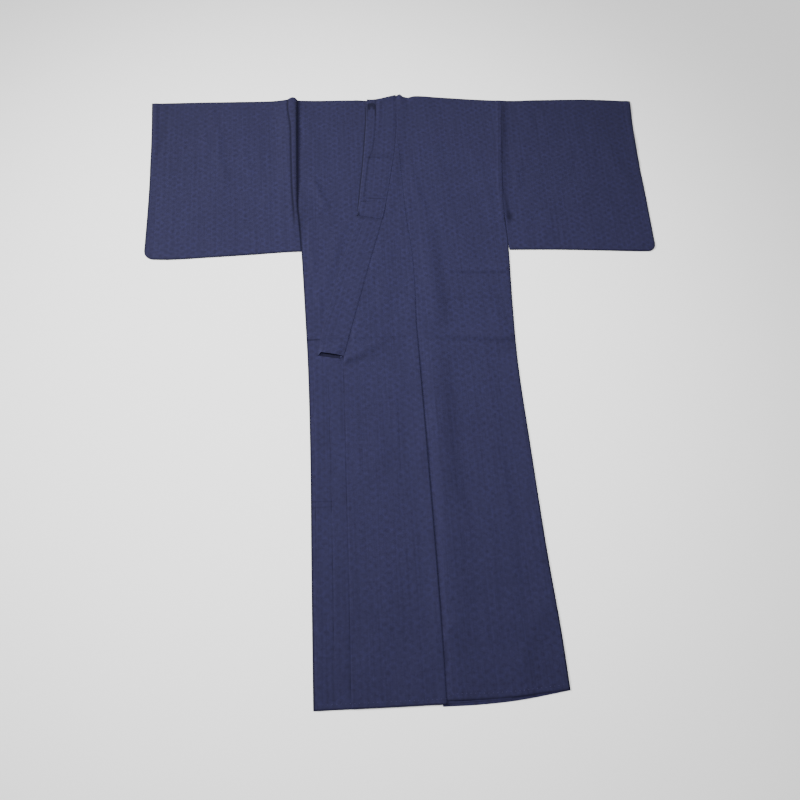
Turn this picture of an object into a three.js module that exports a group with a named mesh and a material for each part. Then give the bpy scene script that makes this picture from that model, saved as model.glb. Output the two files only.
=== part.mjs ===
// A man's kimono laid flat on its back and closed left over right.
// Millimetres, +Z up, +Y towards the shoulders, the wearer's left at +X.
// Every table below gives places in the garment's own frame: x from the middle,
// and `down`, the distance from the shoulder line towards the hem.
import * as THREE from 'three';

// Driving sizes
const wall = 1.2; // one layer of cloth, pressed
const gap = 0.3; // between pieces at a seam and between layers
const layer = wall + gap;
const bodyLength = 1512; // shoulder line to hem
const sleeveDrop = 500; // shoulder fold to the sleeve's lower edge
const armhole = 400; // depth to which a sleeve is sewn to the body
const cuffOpening = 240; // open part of the cuff, from the shoulder fold
const sleeveCorner = 23; // radius of the sleeve's lower outer corner
const collarTuck = 8; // how far the overlap's edge runs under the collar
const hiddenInset = 40; // how much narrower the under front lies than the upper
const edgeReach = 120; // how far an edge's unevenness carries into a panel

// Levels of the layers, from the surface that the garment lies on
const level = { back: 0, underFront: layer, upperFront: 2 * layer, collar: 3 * layer, overCollar: 4 * layer };

// Long edges: x of each edge at a distance down from the shoulder line
const sideEdges = [
  { down: 0, right: -273, left: 293 },
  { down: 170, right: -273, left: 273 },
  { down: 340, right: -273, left: 256 },
  { down: 400, right: -272, left: 255 },
  { down: 490, right: -267, left: 254 },
  { down: 650, right: -259, left: 244 },
  { down: 810, right: -252, left: 237 },
  { down: 1010, right: -248, left: 239 },
  { down: 1240, right: -247, left: 243 },
  { down: 1400, right: -246, left: 249 },
  { down: 1512, right: -245, left: 250 },
];
const frontLines = [
  { down: 0, overlapSeam: -5, collarSeam: -5, collarFold: -85 },
  { down: 70, overlapSeam: -8, collarSeam: -9, collarFold: -89 },
  { down: 170, overlapSeam: -6, collarSeam: -19, collarFold: -98 },
  { down: 270, overlapSeam: -4, collarSeam: -36, collarFold: -109 },
  { down: 390, overlapSeam: 0, collarSeam: -60, collarFold: -126 },
  { down: 510, overlapSeam: 8, collarSeam: -95, collarFold: -164 },
  { down: 615, overlapSeam: 8, collarSeam: -124, collarFold: -193 },
  { down: 700, overlapSeam: 5, collarSeam: -148, collarFold: -217 },
  { down: 780, overlapSeam: 5, collarSeam: -170, collarFold: -232 },
];
const skirtLines = [
  { down: 700, overlapSeam: 5, frontEdge: -169 },
  { down: 960, overlapSeam: 8, frontEdge: -170 },
  { down: 1320, overlapSeam: 10, frontEdge: -171 },
  { down: 1512, overlapSeam: 8, frontEdge: -173 },
];
const cuffEdges = [
  { down: 0, right: -670, left: 666 },
  { down: 110, right: -662, left: 655 },
  { down: 220, right: -656, left: 648 },
  { down: 350, right: -651, left: 643 },
  { down: 500, right: -648, left: 636 },
];
const backSeams = [
  { down: 0, x: -12 },
  { down: 700, x: -2 },
  { down: 1512, x: 0 },
];
const freeSleeveEdges = [
  { down: armhole, out: gap },
  { down: 440, out: 3 },
  { down: 500, out: 5 },
];

// Cross edges: how far each edge lies above the shoulder line, or below its nominal length
const shoulderFold = [
  { x: -671, up: -2 },
  { x: -540, up: 1 },
  { x: -400, up: 3 },
  { x: -310, up: 7 },
  { x: -289, up: 14 },
  { x: -273, up: 6 },
  { x: -130, up: 5 },
  { x: -60, up: 4 },
  { x: 10, up: 16 },
  { x: 50, up: 20 },
  { x: 120, up: 14 },
  { x: 290, up: 1 },
  { x: 430, up: 3 },
  { x: 550, up: 3 },
  { x: 667, up: -4 },
];
const collarTop = [
  { x: -90, up: 4 },
  { x: -50, up: 11 },
  { x: 8, up: 26 },
];
const sleeveHems = [
  { x: -650, past: 0 },
  { x: -585, past: 3 },
  { x: -490, past: -1 },
  { x: -390, past: -6 },
  { x: -270, past: -12 },
  { x: 259, past: -4 },
  { x: 385, past: -1 },
  { x: 490, past: 4 },
  { x: 592, past: 9 },
  { x: 640, past: 10 },
];
const frontHems = [
  { x: -245, past: -3 },
  { x: -80, past: 0 },
  { x: 8, past: 1 },
];
const upperFrontHem = [
  { x: 0, past: -5 },
  { x: 120, past: -3 },
  { x: 250, past: -9 },
];
const leftBackHem = [
  { x: 0, past: 5 },
  { x: 70, past: 6 },
  { x: 150, past: 3 },
  { x: 250, past: -8 },
];

// Largest folds of the fronts: soft ridges from one point to another
const underFrontFolds = [
  { x: -216, down: 290, toX: -194, toDown: 385, width: 16, height: 2 },
  { x: -246, down: 300, toX: -232, toDown: 530, width: 14, height: 2 },
];
const overlapFolds = [
  { x: -140, down: 775, toX: -80, toDown: 750, width: 22, height: 2 },
  { x: -95, down: 900, toX: -85, toDown: 1330, width: 55, height: 1.2 },
];
const upperFrontFolds = [
  { x: 22, down: 205, toX: 34, toDown: 255, width: 14, height: 1.2 },
  { x: 34, down: 255, toX: 62, toDown: 375, width: 16, height: 1.4 },
  { x: 44, down: 430, toX: 38, toDown: 850, width: 34, height: 3 },
  { x: 38, down: 850, toX: 62, toDown: 1130, width: 40, height: 3 },
  { x: 62, down: 1130, toX: 74, toDown: 1320, width: 40, height: 2 },
  { x: 100, down: 556, toX: 215, toDown: 560, width: 16, height: 1.5 },
  { x: 70, down: 634, toX: 225, toDown: 637, width: 18, height: 1.5 },
];
const waistTuck = { down: 736, width: 15, height: 1 };

// Raised seam edges: the crest's distance in from the edge, its half width and its height
const rightArmholeRidge = { crest: 6, width: 12, height: 4 };
const leftArmholeRidge = { crest: 8, width: 11, height: 2.2 };
const overlapRidge = { crest: 4, width: 8, height: 1.3 };

// Collar's open end: its depth, where its edge crosses that depth, the edge's slope,
// how far up it is lifted and how much
const collarEnd = { down: 771, x: -200, slope: 0.25, lift: 40, height: 5 };
const overCollarEnd = { row: 370, x: -152, slope: 0.27 }; // the over-collar's sewn end, in the same way
const underCollarEnd = 776; // depth at which the hidden collar meets its panel's free edge
const underNeck = { depth: 60, x: -45 }; // the under front's edge beside the neck
const rise = { start: 30, end: 60 }; // how far past the under front's edge the upper front comes down

const { lerp, clamp, smoothstep } = THREE.MathUtils;

// Reads column `to` of a table sorted by column `from`, on a smooth curve through its rows
function reader(table, from, to) {
  const slope = (a, b) => (table[b][to] - table[a][to]) / (table[b][from] - table[a][from]);
  const last = table.length - 1;
  const tangent = (i) => slope(Math.max(i - 1, 0), Math.min(i + 1, last));
  return (value) => {
    const at = clamp(value, table[0][from], table[last][from]);
    const i = clamp(table.findIndex((row) => row[from] > at) - 1, 0, last - 1);
    const k = at === table[last][from] ? last - 1 : i;
    const span = table[k + 1][from] - table[k][from];
    const s = (at - table[k][from]) / span;
    const bend = (1 - s) * (1 - s) * s * tangent(k) - (1 - s) * s * s * tangent(k + 1);
    return lerp(table[k][to], table[k + 1][to], s * s * (3 - 2 * s)) + bend * span;
  };
}

const rightSide = reader(sideEdges, 'down', 'right');
const leftSide = reader(sideEdges, 'down', 'left');
const rightCuff = reader(cuffEdges, 'down', 'right');
const leftCuff = reader(cuffEdges, 'down', 'left');
const freeSleeve = reader(freeSleeveEdges, 'down', 'out');
const backSeam = reader(backSeams, 'down', 'x');
const seamAbove = reader(frontLines, 'down', 'overlapSeam');
const seamBelow = reader(skirtLines, 'down', 'overlapSeam');
const overlapSeam = (down) => (down < 700 ? seamAbove(down) : seamBelow(down));
const collarSeam = reader(frontLines, 'down', 'collarSeam');
const collarFold = reader(frontLines, 'down', 'collarFold');
const frontEdge = reader(skirtLines, 'down', 'frontEdge');
const overlapEdge = (down) => Math.max(collarSeam(down) - collarTuck, frontEdge(down));
const shoulder = reader(shoulderFold, 'x', 'up');
const sleeveHem = reader(sleeveHems, 'x', 'past');

// The hidden under front mirrors the upper one, drawn in by hiddenInset
const underSeam = (down) => -overlapSeam(down) - 10;
const underCollarSeam = (down) => -collarSeam(down) - hiddenInset;
const underCollarFold = (down) => -collarFold(down) - hiddenInset;
const underFrontInner = (down) => Math.min(underSeam(down), underCollarSeam(down)) - gap;
const underOverlapEdge = (down) => (down < underCollarEnd ? underCollarSeam(down) : -frontEdge(down) - hiddenInset);
const underReach = (down) => (down < underCollarEnd ? underCollarFold(down) : underOverlapEdge(down));

// Height that a list of folds adds at a point
function foldHeight(folds, x, down) {
  let most = 0;
  for (const fold of folds) {
    const alongX = fold.toX - fold.x;
    const alongDown = fold.toDown - fold.down;
    const reach = (x - fold.x) * alongX + (down - fold.down) * alongDown;
    const t = clamp(reach / (alongX * alongX + alongDown * alongDown), 0, 1);
    const off = Math.hypot(x - fold.x - t * alongX, down - fold.down - t * alongDown);
    most = Math.max(most, off < fold.width ? fold.height * Math.cos((Math.PI * off) / (2 * fold.width)) ** 2 : 0);
  }
  return most;
}

function ridgeHeight(ridge, inFromEdge) {
  const off = Math.abs(inFromEdge - ridge.crest) / ridge.width;
  return off < 1 ? ridge.height * Math.cos((Math.PI * off) / 2) ** 2 : 0;
}

const tuckHeight = (down) => ridgeHeight({ crest: waistTuck.down, ...waistTuck }, down);

// Places a grid point of a panel between two long edges; its cross edges shift the rows near them
function panelPlace({ left, right, top = () => 0, bottom = () => 0, length }) {
  return (across, row) => {
    const roughX = lerp(left(row), right(row), across);
    const nearTop = Math.max(0, 1 - row / edgeReach);
    const nearBottom = Math.max(0, 1 - (length - row) / edgeReach);
    const down = row - top(roughX) * nearTop + bottom(roughX) * nearBottom;
    return { x: lerp(left(down), right(down), across), down };
  };
}

// Collects corner points and faces into one closed body
class Shell {
  constructor() {
    this.points = [];
    this.faces = [];
  }

  add(x, y, z) {
    this.points.push(x, y, z);
    return this.points.length / 3 - 1;
  }

  quad(a, b, c, d) {
    this.faces.push(a, b, c, a, c, d);
  }

  geometry() {
    const made = new THREE.BufferGeometry();
    made.setAttribute('position', new THREE.Float32BufferAttribute(this.points, 3));
    made.setIndex(this.faces);
    made.computeVertexNormals();
    return made;
  }
}

// The grid's rim as a loop, seen from above against the clock, with the side that each step runs along
function rimLoop(columnCount, rowCount) {
  const loop = [];
  for (let j = 0; j < rowCount - 1; j++) loop.push({ i: 0, j, side: 'left', row: j });
  for (let i = 0; i < columnCount - 1; i++) loop.push({ i, j: rowCount - 1, side: 'bottom', column: i });
  for (let j = rowCount - 1; j > 0; j--) loop.push({ i: columnCount - 1, j, side: 'right', row: j - 1 });
  for (let i = columnCount - 1; i > 0; i--) loop.push({ i, j: 0, side: 'top', column: i - 1 });
  return loop;
}

function addFaces(shell, grid, faceUp) {
  for (let i = 0; i < grid.length - 1; i++) {
    for (let j = 0; j < grid[i].length - 1; j++) {
      const corners = [grid[i][j], grid[i][j + 1], grid[i + 1][j + 1], grid[i + 1][j]];
      shell.quad(...(faceUp ? corners : corners.reverse()));
    }
  }
}

// One flat layer of cloth: `place` gives x and down, `base` the height of its underside
function sheet({ columns, rows, place, base }) {
  const shell = new Shell();
  const grid = (raise) => columns.map((across) => rows.map((row) => {
    const { x, down } = place(across, row);
    return shell.add(x, -down, base(x, down) + raise);
  }));
  const under = grid(0);
  const over = grid(wall);
  addFaces(shell, under, false);
  addFaces(shell, over, true);
  const loop = rimLoop(columns.length, rows.length);
  loop.forEach(({ i, j }, n) => {
    const next = loop[(n + 1) % loop.length];
    shell.quad(under[i][j], under[next.i][next.j], over[next.i][next.j], over[i][j]);
  });
  return shell.geometry();
}

// Two layers joined along the closed parts of their rim, with an empty space between them
function foldedPiece({ columns, rows, back, front, backBase, frontBase, isOpen }) {
  const shell = new Shell();
  const loop = rimLoop(columns.length, rows.length);
  const open = loop.map(isOpen);
  const inward = new Map();
  loop.forEach(({ side, i, j }, n) => {
    if (open[n]) return;
    const next = loop[(n + 1) % loop.length];
    for (const spot of [{ i, j }, next]) {
      const key = `${spot.i},${spot.j}`;
      const push = inward.get(key) ?? { x: 0, y: 0 };
      if (side === 'left') push.x = wall;
      if (side === 'right') push.x = -wall;
      if (side === 'top') push.y = -wall;
      if (side === 'bottom') push.y = wall;
      inward.set(key, push);
    }
  });
  const grid = (place, base, raise, inside) => columns.map((across, i) => rows.map((row, j) => {
    const { x, down } = place(across, row);
    const push = (inside && inward.get(`${i},${j}`)) || { x: 0, y: 0 };
    return shell.add(x + push.x, push.y - down, base(x, down) + raise);
  }));
  const layers = {
    a: grid(back, backBase, 0, false),
    b: grid(back, backBase, wall, true),
    c: grid(front, frontBase, 0, true),
    d: grid(front, frontBase, wall, false),
  };
  addFaces(shell, layers.a, false);
  addFaces(shell, layers.b, true);
  addFaces(shell, layers.c, false);
  addFaces(shell, layers.d, true);
  const at = (name, spot) => layers[name][spot.i][spot.j];
  loop.forEach((spot, n) => {
    const next = loop[(n + 1) % loop.length];
    const wasOpen = open[(n + loop.length - 1) % loop.length];
    if (open[n]) {
      shell.quad(at('a', spot), at('a', next), at('b', next), at('b', spot));
      shell.quad(at('c', spot), at('c', next), at('d', next), at('d', spot));
    } else {
      shell.quad(at('a', spot), at('a', next), at('d', next), at('d', spot));
      shell.quad(at('b', spot), at('c', spot), at('c', next), at('b', next));
    }
    const corners = ['a', 'b', 'c', 'd'].map((name) => at(name, spot));
    if (open[n] && !wasOpen) shell.quad(...corners);
    if (!open[n] && wasOpen) shell.quad(...corners.reverse());
  });
  return shell.geometry();
}

// Turns a list of distances across a panel into shares of its width
const share = (list) => list.map((value) => value / list[list.length - 1]);

const upperRows = [0, 8, 30, 70, 120, 170, 220, 270, 320, 370, armhole];
const bodyRows = [...upperRows, 440, 490, 530, 548, 562, 600, 622, 636, 650, 690, 721, waistTuck.down, 751, 780,
  850, 930, 1010, 1090, 1170, 1250, 1330, 1410, 1490, bodyLength];

// Body, one length a side: front, over the shoulder and down the back
function bodyRight() {
  const inner = (down) => (down < underNeck.depth ? underNeck.x : underFrontInner(down));
  const back = panelPlace({
    left: rightSide, right: (down) => backSeam(down) - gap / 2, top: shoulder,
    bottom: reader(frontHems, 'x', 'past'), length: bodyLength,
  });
  const front = panelPlace({
    left: rightSide, right: inner, top: shoulder, bottom: reader(frontHems, 'x', 'past'), length: bodyLength,
  });
  return foldedPiece({
    columns: share([0, 8, 20, 32, 44, 56, 78, 110, 150, 190, 225]),
    rows: bodyRows,
    back,
    front,
    backBase: () => level.back,
    frontBase: (x, down) => {
      const seen = smoothstep(collarFold(down) - x, 4, 24);
      return level.underFront + Math.max(foldHeight(underFrontFolds, x, down), tuckHeight(down)) * seen;
    },
    isOpen: ({ side, row, column }) => {
      if (side === 'left') return bodyRows[row] < armhole;
      return side !== 'top' || column > 7;
    },
  });
}

function bodyLeft() {
  const past = reader(upperFrontHem, 'x', 'past');
  const backPast = reader(leftBackHem, 'x', 'past');
  const back = panelPlace({
    left: (down) => backSeam(down) + gap / 2, right: leftSide, top: shoulder, bottom: backPast, length: bodyLength,
  });
  const front = panelPlace({
    left: (down) => overlapSeam(down) + gap / 2, right: leftSide, top: shoulder, bottom: past, length: bodyLength,
  });
  return foldedPiece({
    columns: share([0, 10, 24, 44, 66, 88, 112, 140, 168, 196, 220, 234, 245]),
    rows: bodyRows,
    back,
    front,
    backBase: () => level.back,
    frontBase: (x, down) => {
      const rest = lerp(level.upperFront, level.underFront, smoothstep(x - underReach(down), rise.start, rise.end));
      const ridge = down < armhole + 20 ? ridgeHeight(leftArmholeRidge, leftSide(down) - x) : 0;
      const free = smoothstep(x - overlapSeam(down), 0, 16);
      return rest + ridge + Math.max(foldHeight(upperFrontFolds, x, down), tuckHeight(down)) * free;
    },
    isOpen: ({ side, row }) => {
      if (side === 'right') return bodyRows[row] < armhole;
      return side !== 'top';
    },
  });
}

// Sleeves: one length each, folded at the top, sewn below, open at the cuff and along the body
const sleeveRows = [...upperRows, 440, 470, 490, sleeveDrop];
const sleeveColumns = share([0, 3, 7, 12, 19, 60, 120, 190, 260, 320,
  385 - sleeveCorner, 385 - sleeveCorner / 2, 385 - sleeveCorner / 8, 385]);

function sleeve(side) {
  const isRight = side === 'right';
  const sign = isRight ? -1 : 1;
  const bodySide = isRight ? rightSide : leftSide;
  const cuff = isRight ? rightCuff : leftCuff;
  const inner = (down) => bodySide(down) + sign * (down > armhole ? freeSleeve(down) : gap);
  const corner = (x, down) => {
    const left = sleeveCorner - Math.abs(cuff(down) - x);
    return left > 0 ? sleeveCorner - Math.sqrt(sleeveCorner ** 2 - left ** 2) : 0;
  };
  const bottom = (x) => sleeveHem(x) - corner(x, sleeveDrop);
  const place = panelPlace({
    left: isRight ? cuff : inner, right: isRight ? inner : cuff, top: shoulder, bottom, length: sleeveDrop,
  });
  const columns = isRight ? sleeveColumns.map((value) => 1 - value).reverse() : sleeveColumns;
  const innerSide = isRight ? 'right' : 'left';
  return foldedPiece({
    columns,
    rows: sleeveRows,
    back: place,
    front: place,
    backBase: () => level.back,
    frontBase: (x, down) => {
      const ridge = isRight ? ridgeHeight(rightArmholeRidge, Math.abs(inner(down) - x)) : 0;
      return level.underFront + ridge * (1 - smoothstep(down, armhole - 10, armhole + 90));
    },
    isOpen: ({ side: rim, row }) => {
      if (rim === 'top' || rim === 'bottom') return false;
      return rim === innerSide ? sleeveRows[row] < armhole : sleeveRows[row] < cuffOpening;
    },
  });
}

// Overlap panels, from the collar's seam down to the hem
function overlapLeft() {
  return sheet({
    columns: share([0, 12, 40, 75, 105, 135, 158, 169, 173, 177]),
    rows: bodyRows.filter((row) => row >= 120),
    place: panelPlace({
      left: overlapEdge, right: (down) => overlapSeam(down) - gap / 2, bottom: reader(frontHems, 'x', 'past'),
      length: bodyLength,
    }),
    base: (x, down) => {
      const clearOfCollar = down < collarEnd.down ? smoothstep(x - collarSeam(down), 3, 20) : 1;
      const ridge = ridgeHeight(overlapRidge, overlapSeam(down) - x) * smoothstep(down, 200, 320);
      const folds = Math.max(foldHeight(overlapFolds, x, down), tuckHeight(down));
      return level.upperFront + Math.max(ridge, folds * clearOfCollar);
    },
  });
}

function overlapRight() {
  return sheet({
    columns: [0, 0.5, 1],
    rows: bodyRows.filter((row) => row >= 270),
    place: panelPlace({ left: underSeam, right: (down) => underOverlapEdge(down) - gap, length: bodyLength }),
    base: () => level.underFront,
  });
}

// Collar band, folded along its free edge and open at its end
function collarLeft() {
  const rows = [...bodyRows.filter((row) => row <= 721), 745, 760, collarEnd.down];
  const top = reader(collarTop, 'x', 'up');
  const bottom = (x) => (x - collarEnd.x) * collarEnd.slope;
  const place = (tuck) => panelPlace({
    left: collarFold, right: (down) => Math.min(collarSeam(down), overlapEdge(down) + collarTuck) - tuck,
    top, bottom, length: collarEnd.down,
  });
  return foldedPiece({
    columns: share([0, 5, 15, 30, 45, 60, 70, 75]),
    rows,
    back: place(collarTuck + gap),
    front: place(0),
    backBase: () => level.upperFront,
    frontBase: (x, down) => {
      const lift = smoothstep(down, collarEnd.down - collarEnd.lift, collarEnd.down);
      const span = clamp((x - collarFold(down)) / (collarSeam(down) - collarFold(down)), 0, 1);
      return level.collar + collarEnd.height * lift * Math.sin(Math.PI * span);
    },
    isOpen: ({ side }) => side === 'right' || side === 'bottom',
  });
}

function collarRight() {
  return sheet({
    columns: [0, 0.5, 1],
    rows: bodyRows.filter((row) => row <= 751),
    place: panelPlace({ left: underCollarSeam, right: underCollarFold, length: bodyLength }),
    base: () => level.underFront,
  });
}

// Over-collar: a second strip on the collar, turned down over its fold
function overCollar() {
  const rows = bodyRows.filter((row) => row <= overCollarEnd.row);
  const end = rows[rows.length - 1];
  const place = panelPlace({
    left: collarFold,
    right: collarSeam,
    top: reader(collarTop, 'x', 'up'),
    bottom: (x) => (x - overCollarEnd.x) * overCollarEnd.slope,
    length: end,
  });
  const shell = new Shell();
  const across = [0, 0.08, 0.25, 0.5, 0.75, 0.92, 1]; // shares of the collar's width
  const grid = (out, raise) => {
    const turned = rows.map((row) => {
      const { x, down } = place(0, row);
      return shell.add(x - out, -down, level.upperFront);
    });
    const flat = across.map((value, i) => rows.map((row) => {
      const { x, down } = place(value, row);
      return shell.add(i === 0 ? x - out : x, -down, level.overCollar + raise);
    }));
    return [turned, ...flat];
  };
  const under = grid(gap, 0);
  const over = grid(gap + wall, wall);
  addFaces(shell, under, false);
  addFaces(shell, over, true);
  const loop = rimLoop(under.length, rows.length);
  loop.forEach(({ i, j }, n) => {
    const next = loop[(n + 1) % loop.length];
    shell.quad(under[i][j], under[next.i][next.j], over[next.i][next.j], over[i][j]);
  });
  return shell.geometry();
}

// Pieces
const cloth = { metalness: 0, roughness: 0.9, side: THREE.FrontSide };
const kimono = new THREE.Group();
const pieces = [
  { name: 'body_right', geometry: bodyRight(), color: 0x3a3d5e },
  { name: 'body_left', geometry: bodyLeft(), color: 0x383b5b },
  { name: 'sleeve_right', geometry: sleeve('right'), color: 0x3c3f62 },
  { name: 'sleeve_left', geometry: sleeve('left'), color: 0x313552 },
  { name: 'overlap_left', geometry: overlapLeft(), color: 0x3b3f5e },
  { name: 'overlap_right', geometry: overlapRight(), color: 0x383b5b },
  { name: 'collar_left', geometry: collarLeft(), color: 0x3d4062 },
  { name: 'collar_right', geometry: collarRight(), color: 0x383b5b },
  { name: 'over_collar', geometry: overCollar(), color: 0x3c3f5f },
];
for (const { name, geometry, color } of pieces) {
  const mesh = new THREE.Mesh(geometry, new THREE.MeshStandardMaterial({ color, ...cloth }));
  mesh.name = name;
  kimono.add(mesh);
}

// The origin is under the middle of the garment, on the surface that it lies on
const middle = new THREE.Box3().setFromObject(kimono).getCenter(new THREE.Vector3());
for (const mesh of kimono.children) mesh.position.set(-middle.x, -middle.y, 0);

export default kimono;
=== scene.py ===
from math import cos, pi, radians, sin

import bpy
import numpy as np
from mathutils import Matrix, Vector
from mathutils.bvhtree import BVHTree


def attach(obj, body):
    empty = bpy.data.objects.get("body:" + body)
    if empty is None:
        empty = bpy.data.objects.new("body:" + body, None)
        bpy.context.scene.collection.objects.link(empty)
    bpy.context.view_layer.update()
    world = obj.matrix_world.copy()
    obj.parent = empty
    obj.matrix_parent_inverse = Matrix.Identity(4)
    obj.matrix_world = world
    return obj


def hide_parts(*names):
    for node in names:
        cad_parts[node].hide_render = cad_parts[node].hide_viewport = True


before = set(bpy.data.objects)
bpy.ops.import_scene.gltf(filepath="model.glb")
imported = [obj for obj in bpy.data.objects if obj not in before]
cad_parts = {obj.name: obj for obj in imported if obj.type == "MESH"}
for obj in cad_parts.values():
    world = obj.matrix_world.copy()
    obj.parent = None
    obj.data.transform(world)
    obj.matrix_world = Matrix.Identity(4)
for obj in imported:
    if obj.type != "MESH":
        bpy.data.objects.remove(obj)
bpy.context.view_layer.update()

# All sizes are metres. A place on the garment is x from its middle, + to the wearer's left,
# and down, the distance from the shoulder line towards the hem.
garment = dict(
    length=1.512, sleeveDrop=0.5, armhole=0.4, cuffOpening=0.24,
    wall=0.0008,        # one pressed layer of cloth with its turned edges
    layer=0.0012,       # from one layer to the next
    tuck=0.008,         # how far the overlap's edge runs under the collar
    inset=0.04,         # how much narrower the hidden front lies
    underSeamInset=0.01,            # and how much closer in its overlap seam
    sewnTo=0.775, underSewnTo=0.776,    # how far down each overlap is sewn to its collar
    middleX=-0.0022, shoulderY=0.7478,  # the garment's middle and shoulder line in the row's frame
)
wall, layer = garment["wall"], garment["layer"]
seamGap = 0.0003        # between the edges of two pieces that are sewn together
loft = 0.0003           # how far pressed cloth stands off the layer below


def smooth(t):
    t = np.clip(t, 0, 1)
    return t * t * (3 - 2 * t)


def mix(a, b, t):
    return a + (b - a) * t


# a smooth line through points, read at any place or array of places
def line(*points):
    at, value = np.array(points, float).T
    step = np.diff(at)
    last = len(at) - 1
    low, high = np.maximum(np.arange(last + 1) - 1, 0), np.minimum(np.arange(last + 1) + 1, last)
    slope = (value[high] - value[low]) / (at[high] - at[low])

    def read(place):
        place = np.clip(place, at[0], at[-1])
        k = np.clip(np.searchsorted(at, place, side="right") - 1, 0, last - 1)
        s = (place - at[k]) / step[k]
        bend = (1 - s) * (1 - s) * s * slope[k] - (1 - s) * s * s * slope[k + 1]
        return mix(value[k], value[k + 1], s * s * (3 - 2 * s)) + bend * step[k]

    return read


# long edges and seams: down, x
sideRight = line((0, -0.2795), (0.3, -0.278), (0.36, -0.277), (0.4, -0.273), (0.49, -0.267), (0.65, -0.259),
                 (0.81, -0.252), (1.01, -0.248), (1.24, -0.247), (1.4, -0.246), (1.512, -0.245))
sideLeft = line((0, 0.293), (0.17, 0.273), (0.34, 0.256), (0.4, 0.255), (0.49, 0.254), (0.65, 0.244),
                (0.81, 0.237), (1.01, 0.239), (1.24, 0.243), (1.4, 0.249), (1.512, 0.25))
cuffRight = line((0, -0.67), (0.11, -0.662), (0.22, -0.656), (0.35, -0.651), (0.5, -0.648))
cuffLeft = line((0, 0.666), (0.11, 0.655), (0.22, 0.648), (0.35, 0.643), (0.5, 0.636))
seamAbove = line((0, -0.005), (0.07, -0.008), (0.17, -0.006), (0.27, -0.004), (0.39, 0), (0.51, 0.008),
                 (0.615, 0.008), (0.7, 0.005), (0.78, 0.005))
seamBelow = line((0.7, 0.005), (0.96, 0.008), (1.32, 0.01), (1.512, 0.008))
collarSeam = line((0, -0.005), (0.07, -0.009), (0.17, -0.019), (0.27, -0.036), (0.39, -0.06), (0.51, -0.095),
                  (0.615, -0.124), (0.7, -0.148), (0.78, -0.17))
collarFold = line((0, -0.085), (0.07, -0.089), (0.17, -0.098), (0.27, -0.109), (0.39, -0.126), (0.51, -0.164),
                  (0.615, -0.193), (0.7, -0.217), (0.78, -0.232))
frontEdge = line((0.7, -0.169), (0.96, -0.17), (1.32, -0.171), (1.512, -0.173))
backSeam = line((0, -0.012), (0.7, -0.002), (1.512, 0))
# cross edges by x: the shoulder above its line, a hem below its length
shoulder = line((-0.671, -0.002), (-0.54, 0.001), (-0.4, 0.003), (-0.31, 0.007), (-0.289, 0.014),
                (-0.273, 0.006), (-0.13, 0.005), (-0.06, 0.004), (-0.004, 0.019), (0.006, 0.0235),
                (0.014, 0.018), (0.023, 0.0125), (0.034, 0.0145), (0.05, 0.019), (0.12, 0.014),
                (0.29, 0.001), (0.43, 0.003), (0.55, 0.003), (0.667, -0.004))
hemRight = line((-0.245, -0.003), (-0.08, 0), (0.008, 0.001))
hemLeft = line((0, -0.005), (0.12, -0.003), (0.25, -0.009))
backHemLeft = line((0, 0.005), (0.07, 0.006), (0.15, 0.003), (0.25, -0.008))


def overlapSeam(down):
    return np.where(down < 0.7, seamAbove(down), seamBelow(down))


# the overlap's left edge: under the collar, then free
def overlapEdge(down):
    return np.maximum(collarSeam(down) - garment["tuck"], frontEdge(down))


# the hidden front, mirrored and drawn in
def underSeam(down):
    return -overlapSeam(down) - garment["underSeamInset"]


def underCollarEdge(down):
    return -collarSeam(down) - garment["inset"]


def underCollarFold(down):
    return -collarFold(down) - garment["inset"]


def underOverlapEdge(down):
    free = -frontEdge(down) - garment["inset"]
    return np.where(down < garment["underSewnTo"], underCollarEdge(down), free) - seamGap


# height of a soft ridge whose crest runs through x, down, half width and height
def fold(x, down, points):
    most = np.zeros_like(x)
    for (ax, ad, aw, ah), (bx, bd, bw, bh) in zip(points, points[1:]):
        alongX, alongDown = bx - ax, bd - ad
        t = np.clip(((x - ax) * alongX + (down - ad) * alongDown) / (alongX ** 2 + alongDown ** 2), 0, 1)
        off = np.hypot(x - ax - t * alongX, down - ad - t * alongDown) / mix(aw, bw, t)
        here = np.where(off < 1, np.cos(np.minimum(off, 1) * pi / 2) ** 2, 0) * mix(ah, bh, t)
        most = np.where(np.abs(here) > np.abs(most), here, most)
    return most


def folds(x, down, rows):
    return sum((fold(x, down, points) for points in rows), np.zeros_like(x))


# the cloth rises on the free side of the collar's seam, so that the seam lies in a narrow groove
seamSwellLook = dict(
    height=line((0, 0.0016), (0.34, 0.0016), (0.385, 0.0007), (0.7, 0.0005), (0.76, 0.0001)),
    riseFrom=0.0008, riseOver=0.0016, fallFrom=0.003, fallOver=0.03,
)


def seamSwell(x, down, look=seamSwellLook):
    off = x - collarSeam(down)
    rise = smooth((off + look["riseFrom"]) / look["riseOver"])
    fall = 1 - smooth((off - look["fallFrom"]) / look["fallOver"])
    return look["height"](down) * rise * fall * (down < garment["sewnTo"])


# a crest at a distance in from an edge
def ridge(off, crest, width, height):
    t = np.abs(off - crest) / width
    return np.where(t < 1, np.cos(np.minimum(t, 1) * pi / 2) ** 2, 0) * height


# a pressed line: the cloth steps by `height` across it and comes back over `reach`
def press(off, height, reach, sharp=0.0012):
    return height * smooth(off / sharp * 0.5 + 0.5) * (1 - smooth(off / reach)) * (off > -sharp)


# slow unevenness of cloth that was folded for a long time and smoothed by hand
def waves(x, down, size, height, seed):
    rng = np.random.default_rng(seed)
    total = np.zeros_like(x)
    for _ in range(7):
        angle, phase = rng.uniform(0, pi), rng.uniform(0, 2 * pi)
        pitch = size * rng.uniform(0.6, 1.7)
        total += np.sin((x * cos(angle) + down * sin(angle)) * 2 * pi / pitch + phase)
    return height * total / 7


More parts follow.
